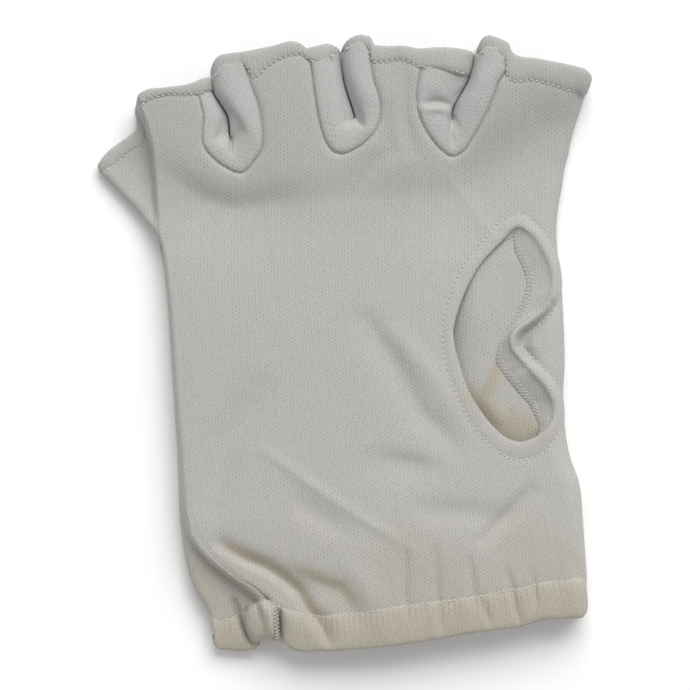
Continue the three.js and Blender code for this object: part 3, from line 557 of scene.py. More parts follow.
def make_piece(name, points, faces, uv, stain=None):
    """One mesh object from corner, face and knit arrays, without the corners that no face uses."""
    used, flat = np.unique(faces, return_inverse=True)
    faces = flat.reshape(faces.shape)
    points, uv = points[used], uv[used]
    mesh = bpy.data.meshes.new(name)
    mesh.vertices.add(len(points))
    mesh.vertices.foreach_set("co", points.astype(np.float32).ravel())
    sides = faces.shape[1]
    mesh.loops.add(faces.size)
    mesh.loops.foreach_set("vertex_index", faces.astype(np.int32).ravel())
    mesh.polygons.add(len(faces))
    mesh.polygons.foreach_set("loop_start", np.arange(0, faces.size, sides, dtype=np.int32))
    mesh.polygons.foreach_set("use_smooth", np.ones(len(faces), dtype=bool))
    mesh.update(calc_edges=True)
    layer = mesh.uv_layers.new(name="knit")
    layer.data.foreach_set("uv", uv[faces.ravel()].astype(np.float32).ravel())
    wear = mesh.attributes.new("stain", "FLOAT", "POINT")
    amount = np.zeros(len(points)) if stain is None else stain[used]
    wear.data.foreach_set("value", amount.astype(np.float32))
    mesh.validate()
    piece = bpy.data.objects.new(name, mesh)
    bpy.context.scene.collection.objects.link(piece)
    return piece


def open_edges(faces):
    """Edges that belong to one face only, in that face's order."""
    edges = np.concatenate([faces[:, [i, (i + 1) % 4]] for i in range(4)])
    key = np.sort(edges, axis=1)
    _, index, count = np.unique(key, axis=0, return_index=True, return_counts=True)
    return edges[index[count == 1]]


def thick_sheet(name, outer, wall, uv, stain, upward, keep=None, normal=None):
    """Closed cloth: the outer grid, the same grid moved in along its normals, and a wall round each edge.

    The normals are turned so that they point up over the part of the grid that is named as upward.
    """
    rows, columns = outer.shape[:2]
    normal = normals_of(outer) if normal is None else normal
    if normal[np.broadcast_to(upward, normal.shape[:2]), 2].mean() < 0:
        normal = -normal
    inside_face = outer - normal * wall
    faces = grid_faces(rows, columns, keep=keep)
    first = outer.reshape(-1, 3)[faces]
    facing = np.cross(first[:, 1] - first[:, 0], first[:, 3] - first[:, 0])
    if (facing * normal.reshape(-1, 3)[faces[:, 0]]).sum() <= 0:
        faces = faces[:, ::-1]
    count = rows * columns
    rim = open_edges(faces)
    walls = np.stack([rim[:, 1], rim[:, 0], rim[:, 0] + count, rim[:, 1] + count], axis=1)
    every = np.concatenate([faces, faces[:, ::-1] + count, walls])
    points = np.concatenate([outer.reshape(-1, 3), inside_face.reshape(-1, 3)])
    both = np.tile(uv.reshape(-1, 2), (2, 1))
    marks = np.tile(stain.ravel(), 2)
    return make_piece(name, points, every, both, marks)


def swept(name, centres, radius, sides=6):
    """Tubes along many paths at once, closed at both ends.

    centres is paths by points by 3. Round each point a circle stands square to the path, and the first
    and last circles shrink to a point.
    """
    paths, count = centres.shape[:2]
    tangent = np.gradient(centres, axis=1)
    tangent /= np.linalg.norm(tangent, axis=-1, keepdims=True) + 1e-12
    up = np.zeros_like(tangent)
    up[..., 2] = 1
    side = np.cross(tangent, up)
    weak = np.linalg.norm(side, axis=-1, keepdims=True) < 1e-3
    side = np.where(weak, np.array([1.0, 0, 0]), side)
    side /= np.linalg.norm(side, axis=-1, keepdims=True)
    other = np.cross(side, tangent)
    angle = np.linspace(0, 2 * np.pi, sides, endpoint=False)
    taper = np.ones(count)
    taper[[0, -1]] = 0.02
    taper[[1, -2]] = 0.75 if count > 4 else 0.9
    ring = side[:, :, None] * np.cos(angle)[:, None] + other[:, :, None] * np.sin(angle)[:, None]
    points = centres[:, :, None] + ring * (radius * taper)[None, :, None, None]
    faces = grid_faces(count, sides, wrap_columns=True)
    every = (faces[None] + np.arange(paths)[:, None, None] * count * sides).reshape(-1, 4)
    uv = np.zeros((paths, count, sides, 2))
    uv[..., 0] = np.arange(sides) / sides
    uv[..., 1] = np.linspace(0, 1, count)[None, :, None]
    piece = make_piece(name, points.reshape(-1, 3), every, uv.reshape(-1, 2))
    close_tube_ends(piece, sides)
    return piece


def close_tube_ends(piece, sides):
    """Fills the small circle at each end of each tube and turns every face outwards."""
    made = bmesh.new()
    made.from_mesh(piece.data)
    bmesh.ops.holes_fill(made, edges=made.edges, sides=sides)
    bmesh.ops.recalc_face_normals(made, faces=made.faces)
    made.to_mesh(piece.data)
    made.free()


# Cloth pieces

def notch_outline(rows):
    """Outline of the gap between two fingers: a strip's seam with the palm."""
    return along(rows, np.linspace(0, 1, 60))[:2].T


def palm_cloth(sizes):
    """Palm: columns run evenly from the side seam, then by equal angles round the index side's roll."""
    rows, flat_columns, roll_columns = 236, 158, 10
    y = np.linspace(HAND[0][0], HAND[0][-1], rows)[:, None]
    h = hand(y)
    stop = h["index"] - INDEX_ROLL
    flat = between(h["seam"] + 1.5, stop, np.linspace(0, 1, flat_columns)[None, :])
    angle = np.linspace(0, np.pi / 2, roll_columns + 1)[1:][None, :]
    x = np.concatenate([flat, stop + INDEX_ROLL * np.sin(angle)], axis=1)
    height = np.concatenate([upper(x, y), h["edge"] * (1 - np.sin(angle))], axis=1)
    x = np.concatenate([x, stop + INDEX_ROLL * np.cos(angle)], axis=1)
    y = np.broadcast_to(y, x.shape)
    top = np.arange(x.shape[1])[None, :] < flat_columns + roll_columns
    groove = sizes.groove / MM
    sunk = np.zeros(x.shape)
    gone = np.zeros(x.shape, dtype=bool)
    for strip in STRIPS.values():
        outline = notch_outline(strip)
        far = far_from(x, y, outline)
        within = inside(x, y, outline) & top
        share, width = GROOVES["strip"]
        sunk += groove * share * bell(far, width) * top
        sunk += np.where(within, np.minimum(far * 0.5, 2.5), 0)
        gone |= within & (far > NOTCH_EDGE["palm"])
    hole = along(THUMB, np.linspace(0, 1, 140), closed=True)
    rim, stitched = hole[:2].T, hole[2:4].T
    within = inside(x, y, stitched) & top
    far = far_from(x, y, np.vstack([stitched, stitched[:1]]))
    share, width = GROOVES["thumb"]
    sunk += groove * share * bell(far, width) * top
    sunk += np.where(within, 0.7 * step(far, 0, 5), 0)
    gone |= inside(x, y, between(rim, stitched, 0.35)) & top
    for end in (*FINGER_ENDS.values(), WRIST):
        line = along(end["rows"], np.linspace(0, 1, 120))
        share, width = GROOVES["wrist" if end is WRIST else "finger"]
        sunk += groove * share * bell(far_from(x, y, line[2:4].T), width) * top
    gone |= beyond_hems(x, y)
    outer = place(x, y, height - sunk)
    uv = knit_plan(x + np.where(top, 0, 30), y)
    normal = normals_of(place(x, y, height))
    stain = stains(x, y, STAINS)
    return thick_sheet("palm_cloth", outer, sizes.cloth_wall, uv, stain, top, whole_cells(gone), normal)


def past_line(x, y, end, share, left, right, away):
    """True beyond a line under a hem, at a share of the way from its rim in to its stitch line. The line is
    lengthened by left and right pixels, and the region runs on by the pixels away, down the view."""
    line = along(end["rows"], np.linspace(0, 1, 90))
    middle = between(line[:2], line[2:4], share).T
    first = middle[:1] - [[left, 0]]
    last = middle[-1:] + [[right, 0]]
    return inside(x, y, np.vstack([first, middle, last, last + [[0, away]], first + [[0, away]]]))


def beyond_hems(x, y):
    """True where a place lies past a line under a hem that is nearer to its stitches than to its rim."""
    gone = past_line(x, y, WRIST, 0.7, 60, 60, 300)
    for name, end in FINGER_ENDS.items():
        gone |= past_line(x, y, end, 0.7, 60 * (name == "little"), 60 * (name == "index"), -300)
    return gone


def back_cloth(sizes):
    """Back: flat on the surface, rolled up round the fold and wrapped over to the side seam."""
    rows, flat_columns, roll_columns, wrap_columns = 200, 76, 9, 46
    y = np.linspace(HAND[0][0], HAND[0][-1], rows)[:, None]
    h = hand(y)
    flat_share = np.linspace(0, 1, flat_columns)[None, :]
    flat_x = between(h["index"] - INDEX_ROLL, h["fold"] + FOLD_ROLL, flat_share)
    flat_height = inner(flat_x, np.broadcast_to(y, flat_x.shape)) + FLOOR_GAP
    angle = np.linspace(0, np.pi / 2, roll_columns + 1)[1:][None, :]
    roll_x = h["fold"] + FOLD_ROLL * (1 - np.sin(angle))
    roll_height = between(FLOOR_GAP, h["edge"], 1 - np.cos(angle))
    turn = np.linspace(0, np.pi / 2, wrap_columns + 1)[1:][None, :]
    wrap_x = between(h["fold"], h["seam"] + 1, 1 - np.cos(turn))
    wrap_height = upper(np.minimum(wrap_x, h["seam"]), y)
    x = np.concatenate([flat_x, roll_x, wrap_x], axis=1)
    height = np.concatenate([flat_height, roll_height, wrap_height], axis=1)
    y = np.broadcast_to(y, x.shape)
    over = np.arange(x.shape[1])[None, :] >= flat_columns + roll_columns
    gone = beyond_hems(x, y)
    for strip in STRIPS.values():
        outline = notch_outline(strip)
        gone |= inside(x, y, outline) & (far_from(x, y, outline) > NOTCH_EDGE["back"])
    outer = place(x, y, height)
    uv = knit_plan(np.where(over, x, 2 * MIDDLE_X - x), y)
    stain = np.where(over, stains(x, y, STAINS), stains(x, y, INNER_STAINS))
    return thick_sheet("back_cloth", outer, sizes.cloth_wall, uv, stain, over, whole_cells(gone))


def strip_cloth(name, rows, sizes):
    """Strip between two fingers: a rounded half oval from the palm's seam in to the lip and down again.

    Part of the way down, a shelf of it reaches in to the middle of the gap, where it meets the other side.
    """
    line = along(rows, np.linspace(1, 0, 150))
    seam_x, seam_y, lip_x, lip_y, lift = line[:, :, None]
    c = np.linspace(0, 1, 45)[None, :]
    out = np.sin(np.pi * c) ** (2 / STRIP_FULLNESS)
    up = np.sign(np.cos(np.pi * c)) * np.abs(np.cos(np.pi * c)) ** (2 / STRIP_FULLNESS)
    shelf = bell(c - SHELF["at"], SHELF["width"]) * SHELF["reach"]
    middle_x, middle_y = (lip_x + lip_x[::-1]) / 2, (lip_y + lip_y[::-1]) / 2
    x = between(seam_x, lip_x, out) + (middle_x - lip_x) * shelf
    y = between(seam_y, lip_y, out) + (middle_y - lip_y) * shelf
    run = np.hypot(lip_x - seam_x, lip_y - seam_y) * out
    top = upper(seam_x, seam_y) + lift * step(out, 0, 0.8)
    height = top / 2 * (1 + up)
    above = np.clip(up, 0, 1) ** 0.5
    height = height + relief(x, y, STRIP_FOLDS) * above
    height = height - (sizes.groove / MM + 0.35) * bell(run, 2.2) * above
    outer = place(x, y, height)
    girth = np.cumsum(np.linalg.norm(np.diff(outer, axis=1, prepend=outer[:, :1]), axis=-1), axis=1)
    length = np.cumsum(np.linalg.norm(np.diff(outer[:, 8], axis=0, prepend=outer[:1, 8]), axis=-1))
    uv = np.stack([girth, np.broadcast_to(length[:, None], girth.shape)], axis=-1)
    keep = whole_cells(beyond_own_hems(x, y, name))
    return thick_sheet("strip_" + name, outer, sizes.cloth_wall, uv, np.zeros(x.shape), c < 0.2, keep)


def beyond_own_hems(x, y, name):
    """True where a strip's side lies past the middle of the hem of the finger that this side belongs to."""
    left, right = name.split("_")
    gone = np.zeros(np.shape(x), dtype=bool)
    half_way = len(x) // 2
    for finger, part in ((right, slice(0, half_way)), (left, slice(half_way, None))):
        gone[part] = past_line(x[part], y[part], FINGER_ENDS[finger], 0.6, 40, 40, -300)
    return gone


def hem_ring(name, end, profile, counts, sizes, gathers=None):
    """Turned hem round an open end.

    A loop runs over the top from side to side, down one side as half an oval, back underneath and up the
    other side; at each place of it a closed profile runs from the stitch line out to the rim, round it and
    back inside, standing off the cloth along its normal. Cosine puckers, one a stitch, fade away from the
    stitch line.
    """
    start, stop = end["rolls"][0], 1 - end["rolls"][1]
    flat_count, side_count = counts
    w = np.linspace(0, 1, side_count + 2)[1:-1]
    over = np.linspace(start, stop, flat_count)
    out = np.sin(np.pi * w) ** (2 / STRIP_FULLNESS)
    far = stop + (1 - stop) * out
    near = start * (1 - out[::-1])
    t = np.concatenate([over, far, over[::-1], near])
    half = np.cos(np.pi * w)
    side = (1 + np.sign(half) * np.abs(half) ** (2 / STRIP_FULLNESS)) / 2
    level = np.concatenate([np.ones(flat_count), side, np.zeros(flat_count), side[::-1]])
    edge_t = np.concatenate([over, np.full(side_count, stop), over[::-1], np.full(side_count, start)])
    share = profile[0][None, :]
    line, edge = along(end["rows"], t)[:, :, None], along(end["rows"], edge_t)[:, :, None]

    def cloth(at):
        """Plan and height of the cloth under the hem, at shares of the way from the rim to the stitches."""
        height = upper(between(edge[0], edge[2], at), between(edge[1], edge[3], at)) * level[:, None]
        return between(line[0], line[2], at), between(line[1], line[3], at), height

    x, y, height = cloth(share)
    fine = np.linspace(-0.05, 1.3, 28)
    slope = normals_of(place(*cloth(fine)), wrap_rows=True)
    if slope[:flat_count, :, 2].mean() < 0:
        slope = -slope
    pick = np.round((profile[0] - fine[0]) / (fine[-1] - fine[0]) * (len(fine) - 1)).astype(int)
    normal = slope[:, pick]
    run = run_along(line[2:4, :, 0].T)[:, None]
    pucker = np.cos(run * 2 * np.pi / sizes.stitch_pitch) * bell(share - PUCKER["at"], PUCKER["width"])
    lift = profile[1] + PUCKER["height"] * pucker * np.clip(profile[1] + 0.3, 0, 0.3) / 0.3
    if gathers is not None:
        lift = lift + gathers(x) * np.clip(profile[1] + 0.4, 0, 0.6) / 0.6 * level[:, None]
    points = place(x, y, height) + normal * (lift * MM)[..., None]
    points[..., 2] = np.maximum(points[..., 2], FLOOR_GAP / 2 * MM)
    return closed_grid(name, points, knit_plan(x, y), stains(x, y, STAINS))


def casing_gathers(x):
    """Slow uneven waves along the casing, in millimetres: two sines, the slower bent by a third sine."""
    return 0.22 * (np.sin(x / 7.5 + np.sin(x / 23) * 2) * 0.5 + np.sin(x / 4.1 + 1.3) * 0.3)


def turn_outwards(piece):
    """Reverses every face where the closed mesh's signed volume is negative."""
    mesh = piece.data
    points = np.empty(len(mesh.vertices) * 3, dtype=np.float32)
    mesh.vertices.foreach_get("co", points)
    points = points.reshape(-1, 3).astype(float)
    mesh.calc_loop_triangles()
    triangles = np.empty(len(mesh.loop_triangles) * 3, dtype=np.int32)
    mesh.loop_triangles.foreach_get("vertices", triangles)
    a, b, c = points[triangles.reshape(-1, 3)].transpose(1, 0, 2)
    if (a * np.cross(b, c)).sum() < 0:
        mesh.flip_normals()


# Sections of the hems: share of the way from the rim to the stitch line, and height off the cloth in
# millimetres.
FINGER_HEM_PROFILE = np.array([
    (1.14, -0.75), (1.06, -0.3), (1.0, -0.06), (0.92, 0.14), (0.8, 0.26), (0.6, 0.32), (0.4, 0.32),
    (0.22, 0.26), (0.1, 0.12), (0.03, -0.12), (0.0, -0.5), (0.0, -1.0), (0.04, -1.35), (0.12, -1.6),
    (0.3, -1.75), (0.6, -1.8), (0.9, -1.75), (1.1, -1.6),
]).T
CASING_PROFILE = np.array([
    (1.1, -0.7), (1.06, -0.3), (1.02, 0.0), (0.97, 0.14), (0.9, 0.26), (0.8, 0.36), (0.65, 0.42),
    (0.5, 0.44), (0.35, 0.42), (0.2, 0.34), (0.1, 0.2), (0.04, 0.0), (0.01, -0.3), (0.0, -0.8), (0.01, -1.3),
    (0.05, -1.7), (0.12, -2.0), (0.3, -2.1), (0.6, -2.1), (0.9, -2.0), (1.05, -1.8),
]).T


def thumb_facing():
    """Hem and facing of the thumb hole.

    At each place of the rim a smooth line runs from outside the stitch line over the rim and down to the
    raw edge of the facing, which lies under the palm on the left and shows inside the hole on the right.
    """
    line = along(THUMB, np.linspace(0, 1, 320, endpoint=False), closed=True)
    rim_x, rim_y, stitch_x, stitch_y, raw_x, raw_y, lift, drop = line[:, :, None]
    at = np.array([0, 0.12, 0.3, 0.48, 0.6, 0.7, 0.85, 1])
    outward = np.array([1.2, 1.0, 0.62, 0.2, 0, 0, 0, 0])
    inward = np.array([0, 0, 0, 0, 0.02, 0.15, 0.6, 1])
    lifted = np.array([0, 0, 0.3, 0.85, 1, 1, 1, 1])
    raised = np.array([-0.5, -0.22, 0.08, 0.1, -0.06, -0.3, -0.2, 0])
    dropped = np.array([0, 0, 0, 0, 0.04, 0.2, 0.62, 1])
    a = np.linspace(0, 1, 34)[None, :]
    weigh = [smooth(at, row, a) for row in (outward, inward, lifted, raised, dropped)]
    base_x, base_y = between(rim_x, stitch_x, weigh[0]), between(rim_y, stitch_y, weigh[0])
    x, y = base_x + (raw_x - rim_x) * weigh[1], base_y + (raw_y - rim_y) * weigh[1]
    shown = np.clip((drop - FACING["hidden"]) / 0.5, 0, 1)
    on_inner = upper(rim_x, rim_y) + lift - inner(raw_x, raw_y) - FACING["raw_over_back"]
    drop = between(drop, on_inner, shown)
    height = upper(base_x, base_y) + lift * weigh[2] + weigh[3] - drop * weigh[4]
    height = np.maximum(height, inner(x, y) + FACING["over_back"])
    middle = place(x, y, height - FACING["sunk"])
    normal = normals_of(middle, wrap_rows=True)
    if normal[:, :8, 2].mean() < 0:
        normal = -normal
    half = THUMB_WALL / 2 * MM
    top, bottom = middle + normal * half, middle - normal * half
    points = np.concatenate([top, bottom[:, ::-1]], axis=1)
    plan = knit_plan(x, y)
    uv = np.concatenate([plan, plan[:, ::-1]], axis=1)
    stain = stains(x, y, INNER_STAINS) * 0.5
    both = np.concatenate([stain, stain[:, ::-1]], axis=1)
    return closed_grid("thumb_hem", points, uv, both), top[:, -1], top[:, -6]


def seam_welt():
    """Side seam: a flat welt with a few low ridges, laid along the edge of the palm."""
    y = np.linspace(*WELT["rows"], 420)[:, None]
    h = hand(y)
    low, high = WELT["across"]
    across = np.linspace(low, high, 41)[None, :]
    slope = np.gradient(h["seam"][:, 0], y[:, 0])[:, None]
    lean = 1 / np.sqrt(1 + slope**2)
    x = h["seam"] + across * lean
    down = y - across * slope * lean
    ridge = (0.02 + 0.035 * step(y, 420, 500)) * np.cos(across * 2 * np.pi / WELT["ridges"])
    fade = step(across, low, low + 3) * step(-across, -high, 3.5 - high)
    fade = fade * step(y, 100, 112) * step(-y, -598, -575)
    outer = place(x, down, upper(x, down) + (ridge + WELT["stands"]) * fade - WELT["sunk"])
    run = run_along(np.column_stack([h["seam"], y]))
    uv = np.stack(np.broadcast_arrays(across * PIXEL, -run[:, None] * PIXEL), axis=-1)
    upward = np.ones(x.shape, dtype=bool)
    return thick_sheet("side_seam_welt", outer, WELT["wall"] * MM, uv, stains(x, down, STAINS), upward)


def stitch_row(points, lengths, pitch, slant):
    """Bridges of thread along a line of places: each starts and ends in the cloth and stands up between."""
    run = run_along(points)
    count = int(run[-1] // (pitch * PIXEL))
    at = (np.arange(count) + 0.5) * pitch * PIXEL
    t = np.linspace(-0.5, 0.5, 7)
    spots = at[:, None] + t[None, :] * lengths * PIXEL
    centres = at_spots(points, run, spots)
    ahead = np.gradient(centres, axis=1).mean(axis=1, keepdims=True)
    ahead /= np.linalg.norm(ahead, axis=-1, keepdims=True)
    sideways = np.stack([-ahead[..., 1], ahead[..., 0], np.zeros(ahead.shape[:2])], axis=-1)
    turn = np.where(np.arange(count) % 2, slant, -slant)[:, None, None]
    centres = centres + sideways * turn * t[None, :, None] * PIXEL
    centres[..., 2] += (0.1 - 1.2 * t[None, :] ** 2) * MM
    return centres


def overlock(edge, behind, pitch):
    """Arcs of thread over a raw edge: each runs from the line behind it out over the edge and down past it,
    and each leans the other way from its neighbour."""
    run = run_along(edge)
    count = int(run[-1] / (pitch * PIXEL))
    at = (np.arange(count) + 0.5)[:, None] * pitch * PIXEL
    t = np.linspace(0, 1, 7)[None, :]
    lean = np.where(np.arange(count) % 2, 0.9, -0.9)[:, None] * pitch * PIXEL
    spots = np.clip(at + lean * (t - 0.5) * 2, 0, run[-1])
    centre = between(at_spots(behind, run, spots), at_spots(edge, run, spots), (t * 1.18)[..., None])
    centre[..., 2] += (0.07 - 0.9 * np.clip(t - 0.85, 0, 1) / 0.15 - 0.25 * (1 - t) ** 6) * MM
    return centre


# Materials

def node_group(name, inputs, outputs):
    """New shader node group with its number sockets, and its entry and exit nodes."""
    group = bpy.data.node_groups.new(name, "ShaderNodeTree")
    for label, default in inputs.items():
        socket = group.interface.new_socket(label, in_out="INPUT", socket_type="NodeSocketFloat")
        socket.default_value = default
    for label in outputs:
        group.interface.new_socket(label, in_out="OUTPUT", socket_type="NodeSocketFloat")
    return group, group.nodes.new("NodeGroupInput"), group.nodes.new("NodeGroupOutput")


def maths(tree, how, first, second=0.0, clamp=False):
    """Output of one math node that takes two sockets or numbers."""
    node = tree.nodes.new("ShaderNodeMath")
    node.operation = how
    node.use_clamp = clamp
    for socket, value in zip(node.inputs, (first, second)):
        if isinstance(value, (int, float)):
            socket.default_value = value
        else:
            tree.links.new(value, socket)
    return node.outputs[0]


def noise(tree, places, scale, detail):
    """Output of one noise node at the places that a socket gives."""
    node = tree.nodes.new("ShaderNodeTexNoise")
    node.inputs["Scale"].default_value = scale
    node.inputs["Detail"].default_value = detail
    tree.links.new(places, node.inputs["Vector"])
    return node.outputs["Fac"]


def knit_group():
    """Fine interlock: columns of loops half a stitch apart, from three crossed waves of uneven depth.

    A power of the waves' sum leaves a small pit where four loops meet, and a noise makes some pits deeper
    than others. Height and shade both fall there, and shade also varies a little from column to column.
    """
    loop = {"Wale": 0.0016, "Course": 0.00092, "Unevenness": 0.3}
    group, entry, leave = node_group("Cotton knit", loop, ("Height", "Shade"))
    link = group.links.new
    place_in_knit = group.nodes.new("ShaderNodeUVMap")
    place_in_knit.uv_map = "knit"

    def stretched(scale_x, scale_y, detail):
        """Noise with its own scale across and down the knit."""
        stretch = group.nodes.new("ShaderNodeVectorMath")
        stretch.operation = "MULTIPLY"
        stretch.inputs[1].default_value = (scale_x, scale_y, 1)
        link(place_in_knit.outputs[0], stretch.inputs[0])
        return noise(group, stretch.outputs[0], 1, detail)

    def wave(value, cycles, size):
        """Cosine with so many cycles in a loop."""
        angle = maths(group, "MULTIPLY", value, 2 * np.pi * cycles)
        return maths(group, "MULTIPLY", maths(group, "COSINE", angle), size)

    parts = group.nodes.new("ShaderNodeSeparateXYZ")
    link(place_in_knit.outputs[0], parts.inputs[0])
    drift = maths(group, "SUBTRACT", stretched(700, 420, 2), 0.5)
    drift = maths(group, "MULTIPLY", drift, entry.outputs["Unevenness"])
    across = maths(group, "ADD", maths(group, "DIVIDE", parts.outputs[0], entry.outputs["Wale"]), drift)
    down = maths(group, "ADD", maths(group, "DIVIDE", parts.outputs[1], entry.outputs["Course"]), drift)
    columns = wave(across, 2, 0.5)
    falling = wave(maths(group, "ADD", across, down), 1, 0.27)
    rising = wave(maths(group, "SUBTRACT", across, down), 1, 0.23)
    total = maths(group, "ADD", maths(group, "ADD", columns, falling), rising)
    depth = maths(group, "MULTIPLY", stretched(2600, 1300, 2), 5)
    depth = maths(group, "SUBTRACT", depth, 1.75, clamp=True)
    near_pit = maths(group, "ADD", maths(group, "MULTIPLY", total, 0.5), 0.5, clamp=True)
    fleck = maths(group, "MULTIPLY", maths(group, "POWER", near_pit, 3), depth)
    link(maths(group, "SUBTRACT", 1, fleck), leave.inputs["Height"])
    streak = maths(group, "SUBTRACT", stretched(1250, 60, 1), 0.5)
    streak = maths(group, "MULTIPLY", streak, 0.25)
    shade = maths(group, "ADD", maths(group, "SUBTRACT", 0.8, fleck), streak, clamp=True)
    link(shade, leave.inputs["Shade"])
    return group


def new_material(name, roughness, specular):
    """New material, its node tree and its shader node."""
    material = bpy.data.materials.new(name)
    material.use_nodes = True
    shader = material.node_tree.nodes["Principled BSDF"]
    shader.inputs["Roughness"].default_value = roughness
    shader.inputs["Specular IOR Level"].default_value = specular
    return material, material.node_tree, shader


def cotton(name, colour, stain_colour, knit, bump, contrast):
    """Matt cotton: knit loops, soft fuzz, yellowed stains, and a tone that turns from warm at the cuff, the
    cloth's yellowing, to darker and greyer at the fingers, which is painted shade."""
    material, tree, shader = new_material(name, 0.95, 0.2)
    link = tree.links.new
    shader.inputs["Sheen Weight"].default_value = 0.12
    shader.inputs["Sheen Roughness"].default_value = 0.6
    loops = tree.nodes.new("ShaderNodeGroup")
    loops.node_tree = knit
    where = tree.nodes.new("ShaderNodeTexCoord").outputs["Object"]

    def mixed(factor, first, second, kind="MIX"):
        """Two colours mixed by a factor, each a socket or a plain value."""
        node = tree.nodes.new("ShaderNodeMix")
        node.data_type = "RGBA"
        node.blend_type = kind
        for socket, value in ((node.inputs[0], factor), (node.inputs[6], first), (node.inputs[7], second)):
            if hasattr(value, "is_output"):
                link(value, socket)
            elif isinstance(value, float):
                socket.default_value = value
            else:
                socket.default_value = (*value, 1)
        return node.outputs[2]

    def ranged(value, low, high, start=0, stop=1):
        """A value moved from the range start to stop to the range low to high."""
        node = tree.nodes.new("ShaderNodeMapRange")
        for label, limit in (("From Min", start), ("From Max", stop), ("To Min", low), ("To Max", high)):
            node.inputs[label].default_value = limit
        link(value, node.inputs["Value"])
        return node.outputs[0]

    wear = tree.nodes.new("ShaderNodeAttribute")
    wear.attribute_name = "stain"
    patches = ranged(noise(tree, where, 38, 3), 0.55, 1.3)
    stained = maths(tree, "MULTIPLY", wear.outputs["Fac"], patches, clamp=True)
    base = mixed(stained, colour, stain_colour)
    base = mixed(1.0, base, mixed(noise(tree, where, 22, 2), *PATCH_TONES), "MULTIPLY")
    parts = tree.nodes.new("ShaderNodeSeparateXYZ")
    link(where, parts.inputs[0])
    # Painted shade: the colour darkens and greys towards the fingers; towards the cuff it warms with the
    # cloth's yellowing.
    warmth_and_shade = mixed(ranged(parts.outputs[1], 0, 1, *WARMTH_AND_SHADE_SPAN), *WARMTH_AND_SHADE_TONES)
    base = mixed(1.0, base, warmth_and_shade, "MULTIPLY")
    tone = ranged(loops.outputs["Shade"], 1 - contrast, 1 + contrast * 0.35)
    fuzz = ranged(noise(tree, where, 1900, 3), 0.86, 1.14)
    shade = maths(tree, "MULTIPLY", tone, fuzz)
    grey = tree.nodes.new("ShaderNodeCombineXYZ")
    for socket in grey.inputs:
        link(shade, socket)
    link(mixed(1.0, base, grey.outputs[0], "MULTIPLY"), shader.inputs["Base Color"])
    relief_height = maths(tree, "MULTIPLY", loops.outputs["Height"], 1.2)
    raised = tree.nodes.new("ShaderNodeBump")
    raised.inputs["Strength"].default_value = bump
    raised.inputs["Distance"].default_value = 0.00016
    link(maths(tree, "ADD", relief_height, noise(tree, where, 3200, 2)), raised.inputs["Height"])
    link(raised.outputs[0], shader.inputs["Normal"])
    return material


def thread(name, colour):
    """Twisted sewing thread: fine turns of light and dark along it."""
    material, tree, shader = new_material(name, 0.85, 0.25)
    where = tree.nodes.new("ShaderNodeTexCoord").outputs["Object"]
    ramp = tree.nodes.new("ShaderNodeValToRGB")
    for end, share in zip(ramp.color_ramp.elements, (0.78, 1.15)):
        end.color = (*[min(c * share, 1) for c in colour], 1)
    tree.links.new(noise(tree, where, 5200, 2), ramp.inputs["Fac"])
    tree.links.new(ramp.outputs["Color"], shader.inputs["Base Color"])
    return material


def plain(name, colour):
    """Matt floor of one colour."""
    material, _, shader = new_material(name, 1, 0)
    shader.inputs["Base Color"].default_value = (*colour, 1)
    return material


def material_of(name):
    """The named material, made on its first use from the scene's colour of the same first word."""
    found = bpy.data.materials.get(name)
    if found:
        return found
    looks = bpy.context.scene.glove_looks
    colour = tuple(getattr(looks, name.split("_")[0]))
    if name == "thread_cotton":
        return thread(name, colour)
    knit = bpy.data.node_groups.get("Cotton knit") or knit_group()
    bump, contrast = KNIT_SHARES.get(name, (1, 1))
    bump, contrast = looks.knit_bump * bump, looks.knit_contrast * contrast
    return cotton(name, colour, tuple(looks.stain), knit, bump, contrast)


def finish_piece(piece, material, nodes=()):
    """Gives a piece its material and slot, hides the CAD parts that it replaces, and ties it to the root."""
    piece.data.materials.append(material_of(material))
    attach(piece, "root")
    if nodes:
        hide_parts(*nodes)


def sew(name, paths, radius):
    """Makes and finishes one piece of thread along many paths."""
    finish_piece(swept(name, paths, radius), "thread_cotton")


# Properties

def number(label, words, default, low, high, **kind):
    """Number in the panel."""
    return bpy.props.FloatProperty(name=label, description=words, default=default, min=low, max=high, **kind)


def colour_property(label, words, default):
    """Colour in the panel."""
    return bpy.props.FloatVectorProperty(
        name=label, description=words, subtype="COLOR", size=3, default=default, min=0, max=1)


class GloveSizes(bpy.types.PropertyGroup):
    """Sizes of the cloth and of the stitches"""
    cloth_wall: number("Cloth", "Thickness of the cloth", 0.001, 0.0004, 0.002, unit="LENGTH")
    groove: number("Seam groove", "Depth of the seams", 0.0003, 0, 0.001, unit="LENGTH")
    thread_radius: number("Thread", "Radius of the thread", 0.00017, 0.00005, 0.0004, unit="LENGTH")
    stitch: number("Stitch", "Length of one stitch, in view pixels", 4.8, 2, 8)
    stitch_pitch: number("Stitch pitch", "From stitch to stitch, in view pixels", 5.6, 3, 12)


